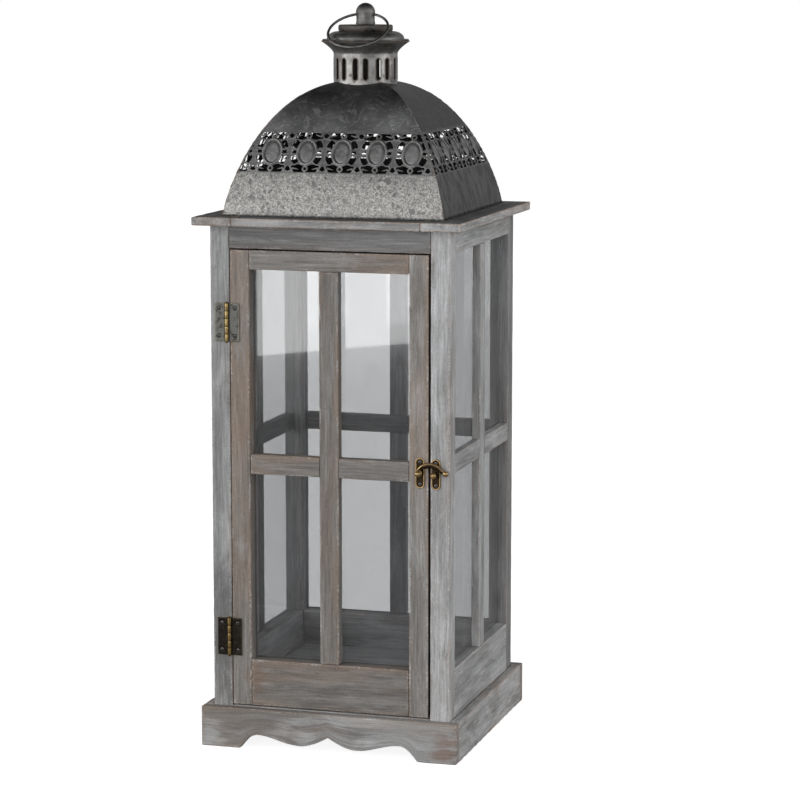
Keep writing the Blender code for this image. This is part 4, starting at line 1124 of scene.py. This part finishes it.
class LANTERN_OT_vent(Operator):
    """The slotted vent collar with its foot tabs"""

    bl_idname = "lantern.vent"
    bl_label = "Vent collar"

    def execute(self, context):
        """Each point (turn, height) of a pierced sheet stands at the collar's radius for its height."""
        finish = shared("vent", lambda: vent_finish(sizes()))
        heights = np.concatenate([
            np.linspace(COLLAR_FOOT, SLOT_LOW - 0.5 * MM, 12, endpoint=False),
            np.linspace(SLOT_LOW - 0.5 * MM, SLOT_HIGH + 0.5 * MM, 44, endpoint=False),
            np.linspace(SLOT_HIGH + 0.5 * MM, RIM_Z, 24)])
        turns = np.linspace(0, TAU, 432, endpoint=False)
        height = np.repeat(heights[:, None], len(turns), 1)
        around = np.repeat(turns[None, :], len(heights), 0) * COLLAR_R
        around, height, quads = pierced(around, height, slot_edge, close=True)
        turn, radius = around / COLLAR_R, collar_radius(height)
        lip = np.exp(-((slot_edge(around, height) / MM - 0.3) / 0.45) ** 2) * 0.15 * MM
        radius = np.minimum(radius + lip, RIM_R)
        points = np.column_stack([radius * np.sin(turn), -radius * np.cos(turn), height])
        collar = piece("collar_sheet", points, [quads[:, ::-1]], "case", finish,
                       {"edge": np.minimum(slot_edge(around, height), RIM_Z - height)})
        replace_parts(thicken(collar, 0.7 * MM, shared("soot", soot_finish)), "vent_collar")
        tabs = []
        for tab in TAB_TURNS:
            lines = [
                board_lines(-1.7 * MM, 1.7 * MM, 0.2 * MM, 0.8 * MM), board_lines(0, 0.6 * MM, 0.2 * MM, MM),
                board_lines(0, 3.4 * MM, 0.2 * MM, 0.5 * MM)]
            skin, faces = box_skin(lines)
            skin[:, 1] -= COLLAR_R + 0.7 * MM + 2.6 * MM * (1 - skin[:, 2] / (3.4 * MM)) ** 2
            skin[:, 2] += COLLAR_FOOT + 0.5 * MM
            turn = math.radians(tab)
            skin = np.column_stack([skin[:, 0] * math.cos(turn) - skin[:, 1] * math.sin(turn),
                                    skin[:, 0] * math.sin(turn) + skin[:, 1] * math.cos(turn), skin[:, 2]])
            tabs.append((skin, [faces]))
        skin, faces = merged(*tabs)
        piece("collar_tabs", skin, faces, "case", finish, {"edge": np.full(len(skin), 0.001)})
        return {"FINISHED"}


class LANTERN_OT_cap(Operator):
    """The spun vent cap and the finial"""

    bl_idname = "lantern.cap"
    bl_label = "Cap and finial"

    def execute(self, context):
        """Two turned skins: a hemmed flange, elliptical shoulder, groove and low tier; then a bullet."""
        finish = shared("vent", lambda: vent_finish(sizes()))
        low, high = (corner[2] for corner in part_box("vent_cap"))
        share = np.linspace(0, 1, 22)[:, None] * math.pi / 2
        shoulder = np.hstack([0.0262 + 0.0103 * np.cos(share), low + 0.0012 + 0.0075 * np.sin(share)])
        hem = arc((0.0400, low + 0.0007), 0.0007, -90, 120, 10)
        tier = arc((0.0240, high - 0.0016), 0.0016, 0, 90, 8)
        profile = np.vstack([
            [(0.0, low)], rounded([(0.0300, low), (0.0398, low)], 6), hem, [(0.0385, low + 0.0012)], shoulder,
            [(0.0258, low + 0.0088), (0.0249, low + 0.0093), (0.0256, low + 0.0100)], tier,
            rounded([(0.0220, high), (0.0100, high - 0.0001)], 5), [(0.0, high - 0.0001)]])
        points, faces = lathe(profile, 144)
        cap = piece("cap_spun", points, faces, "case", finish,
                    {"edge": np.abs(np.hypot(points[:, 0], points[:, 1]) - 0.0249)}, 60.0)
        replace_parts(cap, "vent_cap")
        low, high = (corner[2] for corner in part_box("finial"))
        bullet = np.vstack([
            [(0.0, low), (0.0085, low)], arc((0.0085, low + 0.0006), 0.0006, -90, 0, 5),
            rounded([(0.0090, low + 0.0014), (0.0086, low + 0.0038), (0.0088, high - 0.0105)], 6),
            arc((0.0, high - 0.0091), 0.0091, 4, 90, 16)])
        bullet[-1] = (0.0, high)
        points, faces = lathe(bullet, 96)
        knob = piece("finial_bullet", points, faces, "case", finish,
                     {"edge": np.full(len(points), 0.002)}, 60.0)
        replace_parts(knob, "finial")
        return {"FINISHED"}


class LANTERN_OT_ring(Operator):
    """The carrying ring that hangs in the finial"""

    bl_idname = "lantern.ring"
    bl_label = "Carrying ring"

    def execute(self, context):
        """A torus whose circle leans from level by the ring's tilt about the cross hole. Its wire is uneven
        by the product of two sines."""
        finish = shared("vent", lambda: vent_finish(sizes()))
        rounds = [np.linspace(0, TAU, count, endpoint=False) for count in (160, 20)]
        turn, tilt = np.meshgrid(*rounds, indexing="ij")
        wire = (1.22 + 0.05 * np.sin(turn * 23) * np.sin(turn * 9)) * MM
        radius = RING_R + wire * np.cos(tilt)
        x, y, z = radius * np.sin(turn), radius * np.cos(turn) - RING_R, wire * np.sin(tilt)
        cos, sin = math.cos(RING_TILT), math.sin(RING_TILT)
        points = np.stack([x, y * cos - z * sin, y * sin + z * cos + RING_HOLE], axis=-1).reshape(-1, 3)
        number = np.arange(turn.size).reshape(turn.shape)
        number = np.vstack([number, number[:1]])
        number = np.column_stack([number, number[:, 0]])
        ring = piece("ring_wire", points, [grid_quads(number)], "ring", finish,
                     {"edge": np.full(len(points), 0.002)})
        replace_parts(ring, "carrying_ring")
        return {"FINISHED"}


def leaf_skin(side, height):
    """One hinge leaf about the pin's axis: a pierced plate, stepped back beside the knuckles.

    The plate is flat from its outer edge to near the pin, then eases back 0.5 mm under the barrel.
    """
    across, up = np.meshgrid(np.linspace(0.4 * MM, LEAF_OUT, 48), np.linspace(-height / 2, height / 2, 132))

    def metal(x, z):
        return np.hypot(x - SCREW_OUT, np.abs(z) - SCREW_UP) - 1.75 * MM

    x, z, quads = pierced(across, up, metal)
    ease = np.clip((x - 1.9 * MM) / (0.7 * MM), 0, 1)
    edge = np.minimum(LEAF_OUT - x, height / 2 - np.abs(z))
    sink = 0.35 * MM * np.exp(-np.clip(metal(x, z), 0, None) / (0.35 * MM))
    eased_rim = 0.18 * MM * np.clip(1 - edge / (0.5 * MM), 0, 1) ** 2
    y = -(ease * ease * (3 - 2 * ease) * 0.5 * MM) + sink + eased_rim
    bright = np.clip(1.25 - edge / (0.9 * MM), 0, 1) * (x > 2.6 * MM)
    quads = quads if side < 0 else quads[:, ::-1]
    return np.column_stack([side * x, y, z]), [quads], bright


def screw_skin(at):
    """A countersunk screw: a shallow dome with a deep conical socket, facing -Y. The socket is dark."""
    profile = np.array([(0.0, -1.0), (1.55, -1.0), (1.62, -0.1), (1.50, 0.05), (1.1, 0.22), (0.78, 0.26),
                        (0.62, 0.05), (0.36, -0.45), (0.0, -0.62)]) * MM
    sides, bright_rings = 28, 5
    points, faces = lathe(profile, sides, "-Y", at)
    shine = (np.arange(len(points)) < bright_rings * sides).astype(float)
    shine[-2:] = (1, 0)
    return points, faces, shine


def add_screws(name, places, body, finish):
    """One piece holding several screws."""
    skins = [screw_skin(at) for at in places]
    points, faces = merged(*[(skin, blocks) for skin, blocks, _ in skins])
    shine = np.concatenate([bright for _, _, bright in skins])
    piece(name, points, faces, body, finish, {"relief": shine}, 50.0)


def knuckle_skin(low, high, at):
    """A barrel with eased ends, as one turned skin."""
    radius = 1.78 * MM
    ease = 0.3 * MM
    profile = np.vstack([
        [(0.0, low), (radius - 0.35 * MM, low)], arc((radius - ease, low + ease), ease, -90, 0, 5),
        [(radius * 1.01, (low + high) / 2)], arc((radius - ease, high - ease), ease, 0, 90, 5),
        [(0.0, high)]])
    return lathe(profile, 32, "Z", at)


class LANTERN_OT_hinges(Operator):
    """Two butt hinges: leaves, knuckles, pins and screws"""

    bl_idname = "lantern.hinges"
    bl_label = "Hinges"

    def execute(self, context):
        steel = screw_steel()
        looks = {
            "upper": ((0.225, 0.205, 0.150), (0.150, 0.150, 0.140), (0.40, 0.290, 0.120)),
            "lower": ((0.075, 0.056, 0.033), (0.020, 0.017, 0.014), (0.36, 0.250, 0.100)),
        }
        for label, (bright, dull, gold) in looks.items():
            plate = brass_finish(f"{label}_leaf_brass", bright, dull, 0.5)
            barrel = brass_finish(f"{label}_knuckle_brass", gold, tuple(0.18 * part for part in gold), 0.35)
            pin_low, pin_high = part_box(f"hinge_{label}_pin")
            middle = (pin_low[2] + pin_high[2]) / 2
            low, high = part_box(f"hinge_{label}_post_leaf")
            height = high[2] - low[2]
            face = FRAME_FACE - 0.3 * MM
            step = height / 5
            for side, own, body in ((-1, (0, 2, 4), "case"), (1, (1, 3), "door")):
                leaf = "post" if side < 0 else "door"
                points, faces, shine = leaf_skin(side, height)
                place = np.array([HINGE_AT[0], face - 0.45 * MM, middle])
                made = piece(f"hinge_{label}_{leaf}_plate", points + place, faces, body, plate,
                             {"relief": shine}, 50.0)
                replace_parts(thicken(made, 0.4 * MM), f"hinge_{label}_{leaf}_leaf")
                skins = []
                for index in own:
                    bottom = middle - height / 2 + index * step + 0.14 * MM
                    skins.append(knuckle_skin(bottom, bottom + step - 0.28 * MM, (*HINGE_AT, 0.0)))
                points, faces = merged(*skins)
                # Painted shade at the joints: each knuckle darkens towards its ends.
                share = (points[:, 2] - middle) / step + 2.5
                to_end = 0.5 - np.abs(share - np.floor(share) - 0.5)
                piece(f"hinge_{label}_{leaf}_knuckles", points, faces, body, barrel,
                      {"relief": 0.8 * np.clip(to_end / 0.07, 0, 1)}, 50.0)
                places = [(HINGE_AT[0] + side * SCREW_OUT, face - 0.55 * MM, middle + end * SCREW_UP)
                          for end in (-1, 1)]
                add_screws(f"hinge_{label}_{leaf}_screws", places, body, steel)
            heads = []
            for end in (-1, 1):
                tip = middle + end * (pin_high[2] - pin_low[2]) / 2
                span = sorted((tip, tip - end * 0.8 * MM))
                profile = np.array([(0.0, span[0]), (1.15 * MM, span[0]), (1.45 * MM, sum(span) / 2),
                                    (1.15 * MM, span[1]), (0.0, span[1])])
                heads.append(lathe(profile, 24, "Z", (*HINGE_AT, 0.0)))
            points, faces = merged(*heads)
            pin = piece(f"hinge_{label}_pin_heads", points, faces, "case", barrel,
                        {"relief": np.full(len(points), 0.8)}, 50.0)
            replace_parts(pin, f"hinge_{label}_pin")
        return {"FINISHED"}


def plate_skin(centre, half_w, half_h, back, thick):
    """A round-ended plate with a raised rim round a sunken field, facing -Y.

    Rings of one stadium outline, drawn in towards its middle line: across the back, up the outer wall, over
    the rolled rim, down to the field and across it. Each ring gives its shares of the half-width and of the
    thickness.
    """
    steps = 72
    turn = np.linspace(0, TAU, steps, endpoint=False)
    straight = half_h - half_w
    lift = np.where(np.sin(turn) >= 0, straight, -straight)
    rings = [(0.0, 0.0), (1.0, 0.0), (1.0, 0.55), (0.96, 0.88), (0.88, 1.0), (0.78, 0.96), (0.70, 0.72),
             (0.66, 0.55), (0.35, 0.52), (0.0, 0.52)]
    shine = [0.0, 0.3, 0.6, 1.0, 1.0, 0.9, 0.3, 0.0, 0.0, 0.0]
    points = np.concatenate([
        np.column_stack([centre[0] + half_w * share * np.cos(turn), np.full(steps, back - thick * level),
                         centre[1] + half_w * share * np.sin(turn) + lift]) for share, level in rings])
    number = np.arange(len(points)).reshape(len(rings), steps)
    number = np.column_stack([number, number[:, 0]])
    return points, [grid_quads(number)], np.repeat(shine, steps)


def weld(item):
    """Joins the points of a mesh that share a place and turns every face outwards."""
    mesh = bmesh.new()
    mesh.from_mesh(item.data)
    bmesh.ops.remove_doubles(mesh, verts=mesh.verts, dist=1e-7)
    bmesh.ops.recalc_face_normals(mesh, faces=mesh.faces)
    mesh.to_mesh(item.data)
    mesh.free()
    item.data.shade_smooth()
    item.data.set_sharp_from_angle(angle=math.radians(50.0))
    return item


def hook_line():
    """The middle line of the swing hook from its pivot to the thumb ball, as a smooth path of (x, z)."""
    marks = np.array([(-1.0, 2.2), (3.5, 6.4), (10.5, 8.0), (16.5, 6.7), (20.8, 3.0), (25.2, 0.5)]) * MM
    place = np.concatenate([[0], np.cumsum(np.linalg.norm(np.diff(marks, axis=0), axis=1))])
    share = np.linspace(0, place[-1], 90)
    coarse = np.column_stack([np.interp(share, place, marks[:, 0]), np.interp(share, place, marks[:, 1])])
    blur = np.hanning(21)
    blur /= blur.sum()
    padded = np.vstack([2 * coarse[0] - coarse[10:0:-1], coarse, 2 * coarse[-1] - coarse[-2:-12:-1]])
    return np.column_stack([np.convolve(padded[:, i], blur, "valid") for i in range(2)])


class LANTERN_OT_latch(Operator):
    """The latch: two plates, two studs, pins and the swing hook"""

    bl_idname = "lantern.latch"
    bl_label = "Latch"

    def execute(self, context):
        brass = brass_finish("antique_brass", (0.46, 0.315, 0.150), (0.034, 0.022, 0.012), 0.6)
        steel = screw_steel()
        for label, body, stud, at in (("door", "door", "pivot", PIVOT), ("post", "case", "keeper", KEEPER)):
            low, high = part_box(f"latch_{label}_plate")
            middle = (low + high) / 2
            half_w, half_h = (high[0] - low[0]) / 2, (high[2] - low[2]) / 2
            centre, thick = (middle[0], middle[2]), high[1] - low[1]
            points, faces, shine = plate_skin(centre, half_w, half_h, high[1], thick)
            made = weld(piece(f"latch_{label}_backplate", points, faces, body, brass,
                              {"relief": shine}, 50.0))
            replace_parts(made, f"latch_{label}_plate")
            places = [(middle[0], high[1] - 0.55 * MM, middle[2] + end * LATCH_PIN_UP) for end in (-1, 1)]
            add_screws(f"latch_{label}_pins", places, body, steel)
            stud_low, stud_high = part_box(f"latch_{stud}_stud")
            tall = stud_high[1] - stud_low[1]
            ball = arc((0.0, tall - 2.9 * MM), 2.9 * MM, -38, 90, 18)
            knob = np.vstack([arc((0.0, tall - 2.4 * MM), 3.0 * MM, -32, 52, 12),
                              [(1.55 * MM, tall - 0.45 * MM), (1.2 * MM, tall - 0.1 * MM), (0.0, tall)]])
            profile = np.vstack([
                [(0.0, 0.0), (1.9 * MM, 0.0), (1.45 * MM, 0.4 * MM), (1.4 * MM, tall - 4.7 * MM)],
                ball if stud == "pivot" else knob])
            profile[-1, 0] = 0.0
            profile[:, 1] = np.minimum(profile[:, 1], tall)
            points, faces = lathe(profile, 40, "-Y", (at[0], stud_high[1], at[1]))
            shine = np.clip((stud_high[1] - points[:, 1] - 1.6 * MM) / (1.6 * MM), 0.1, 1)
            made = piece(f"latch_{stud}_turned", points, faces, body, brass,
                         {"relief": shine}, 50.0)
            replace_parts(made, f"latch_{stud}_stud")
        middle = FRAME_FACE - HOOK_OUT
        line = hook_line()
        path = np.column_stack([PIVOT[0] + line[:, 0], np.full(len(line), middle), PIVOT[1] + line[:, 1]])
        share = np.linspace(0, 1, len(line))
        width = (1.45 + 1.15 * np.sin(share * math.pi)) * MM
        sides = 18
        strip = tube(path, width, sides, 0.62)
        rim = arc((2.35 * MM, 0.0), 0.9 * MM, -90, 90, 12)
        eye = lathe(np.vstack([[(0.0, -0.9 * MM)], rim, [(0.0, 0.9 * MM)]]), 36, "-Y",
                    (PIVOT[0], middle, PIVOT[1]))
        ball = arc((0.0, 0.0), 2.75 * MM, -90, 90, 22) * (1, 0.8)
        ball[[0, -1], 0] = 0
        thumb = lathe(ball, 32, "-Y", (PIVOT[0] + THUMB[0], middle, PIVOT[1] + THUMB[1]))
        points, faces = merged(strip, eye, thumb)
        # Painted highlight along the outer edge of the hook's arch and painted shade along its inner edge.
        shine = np.full(len(points), 0.85)
        outward = np.cos(np.linspace(0, TAU, sides, endpoint=False))
        shine[: len(line) * sides] = np.tile(np.clip(outward * 1.5 - 0.1, 0.05, 1.0), len(line))
        hook = piece("latch_hook_cast", points, faces, "hook", brass, {"relief": shine}, 50.0)
        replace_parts(hook, "latch_hook")
        return {"FINISHED"}


# ---- stage -----------------------------------------------------------------------------------------------
def softbox(name, place, aim, size, power):
    """A flat lamp at a place, turned to face a point."""
    lamp = bpy.data.lights.new(name, "AREA")
    lamp.shape = "RECTANGLE"
    lamp.size, lamp.size_y = size
    lamp.energy = power
    item = bpy.data.objects.new(name, lamp)
    bpy.context.scene.collection.objects.link(item)
    item.location = place
    away = Vector(place) - Vector(aim)
    item.rotation_euler = away.to_track_quat("Z", "Y").to_euler()
    item.visible_camera = False
    return item


class LANTERN_OT_stage(Operator):
    """Floor, lamps, surroundings and camera"""

    bl_idname = "lantern.stage"
    bl_label = "Stage"

    def execute(self, context):
        corners = [(FLOOR_REACH * x, FLOOR_REACH * y, 0.0) for x, y in ((-1, -1), (1, -1), (1, 1), (-1, 1))]
        mesh = bpy.data.meshes.new("floor")
        mesh.from_pydata(corners, [], [(0, 1, 2, 3)])
        floor = bpy.data.objects.new("floor", mesh)
        context.scene.collection.objects.link(floor)
        paper = bpy.data.materials.new("floor_paper")
        bench = Bench(paper)
        seen = bench.node("ShaderNodeLightPath", output="Is Camera Ray")
        glow = bench.node("ShaderNodeEmission", None, {"Strength": sizes().floor_level})
        pale = bench.node("ShaderNodeBsdfDiffuse", None, {"Color": opaque(grey(0.72))})
        bright = bench.node("ShaderNodeAddShader", None, {0: glow, 1: pale})
        plain = bench.node("ShaderNodeBsdfDiffuse", None, {"Color": opaque(grey(0.42))})
        bench.finish(bench.node("ShaderNodeMixShader", None, {0: seen, 1: plain, 2: bright}))
        mesh.materials.append(paper)
        world = bpy.data.worlds.new("studio")
        context.scene.world = world
        bench = Bench(world)
        way = bench.node("ShaderNodeTexCoord", output="Generated")
        facing = bench.part(way, 0) * 0.29 - bench.part(way, 1) * 0.956
        ceiling = 1 - bench.part(way, 2).between(0.40, 0.78)
        room = (facing.between(-0.42, 0.50) * 0.58 + 0.52) * (ceiling * 0.95 + 0.05)
        seen = bench.node("ShaderNodeLightPath", output="Is Camera Ray")
        strength = seen * (1 - room) + room
        white = bench.node("ShaderNodeBackground", None, {"Color": opaque(grey(1.0)), "Strength": strength})
        bench.finish(white, "ShaderNodeOutputWorld")
        for lamp in LAMPS:
            softbox(*lamp)
        lens = bpy.data.cameras.new("camera")
        lens.sensor_width = 36.0
        lens.lens = FOCAL
        lens.clip_start, lens.clip_end = 0.05, 60.0
        camera = bpy.data.objects.new("camera", lens)
        context.scene.collection.objects.link(camera)
        camera.location = CAMERA_AT
        camera.rotation_euler = (math.radians(90 - CAMERA_DIP), 0.0, math.radians(CAMERA_TURN))
        context.scene.camera = camera
        context.scene.view_settings.view_transform = "Standard"
        return {"FINISHED"}


OPERATORS = (
    LANTERN_OT_plinth, LANTERN_OT_case, LANTERN_OT_door, LANTERN_OT_panes, LANTERN_OT_roof, LANTERN_OT_hips,
    LANTERN_OT_vent, LANTERN_OT_cap, LANTERN_OT_ring, LANTERN_OT_hinges, LANTERN_OT_latch, LANTERN_OT_stage,
)


class LANTERN_PT_sidebar(Panel):
    """Lists the lantern's pieces in the sidebar"""

    bl_idname = "LANTERN_PT_sidebar"
    bl_label = "Candle Lantern"
    bl_space_type = "VIEW_3D"
    bl_region_type = "UI"
    bl_category = "Lantern"

    def draw(self, context):
        for operator in OPERATORS:
            self.layout.operator(operator.bl_idname)
        for key in LanternSizes.__annotations__:
            self.layout.prop(context.scene.lantern_sizes, key)


CLASSES = (LanternSizes, *OPERATORS, LANTERN_PT_sidebar)


def register():
    for entry in CLASSES:
        bpy.utils.register_class(entry)
    bpy.types.Scene.lantern_sizes = PointerProperty(type=LanternSizes)


def unregister():
    del bpy.types.Scene.lantern_sizes
    for entry in reversed(CLASSES):
        bpy.utils.unregister_class(entry)


def main():
    """Builds every piece in order."""
    register()
    for operator in OPERATORS:
        group, action = operator.bl_idname.split(".")
        getattr(getattr(bpy.ops, group), action)()


if __name__ == "__main__":
    main()
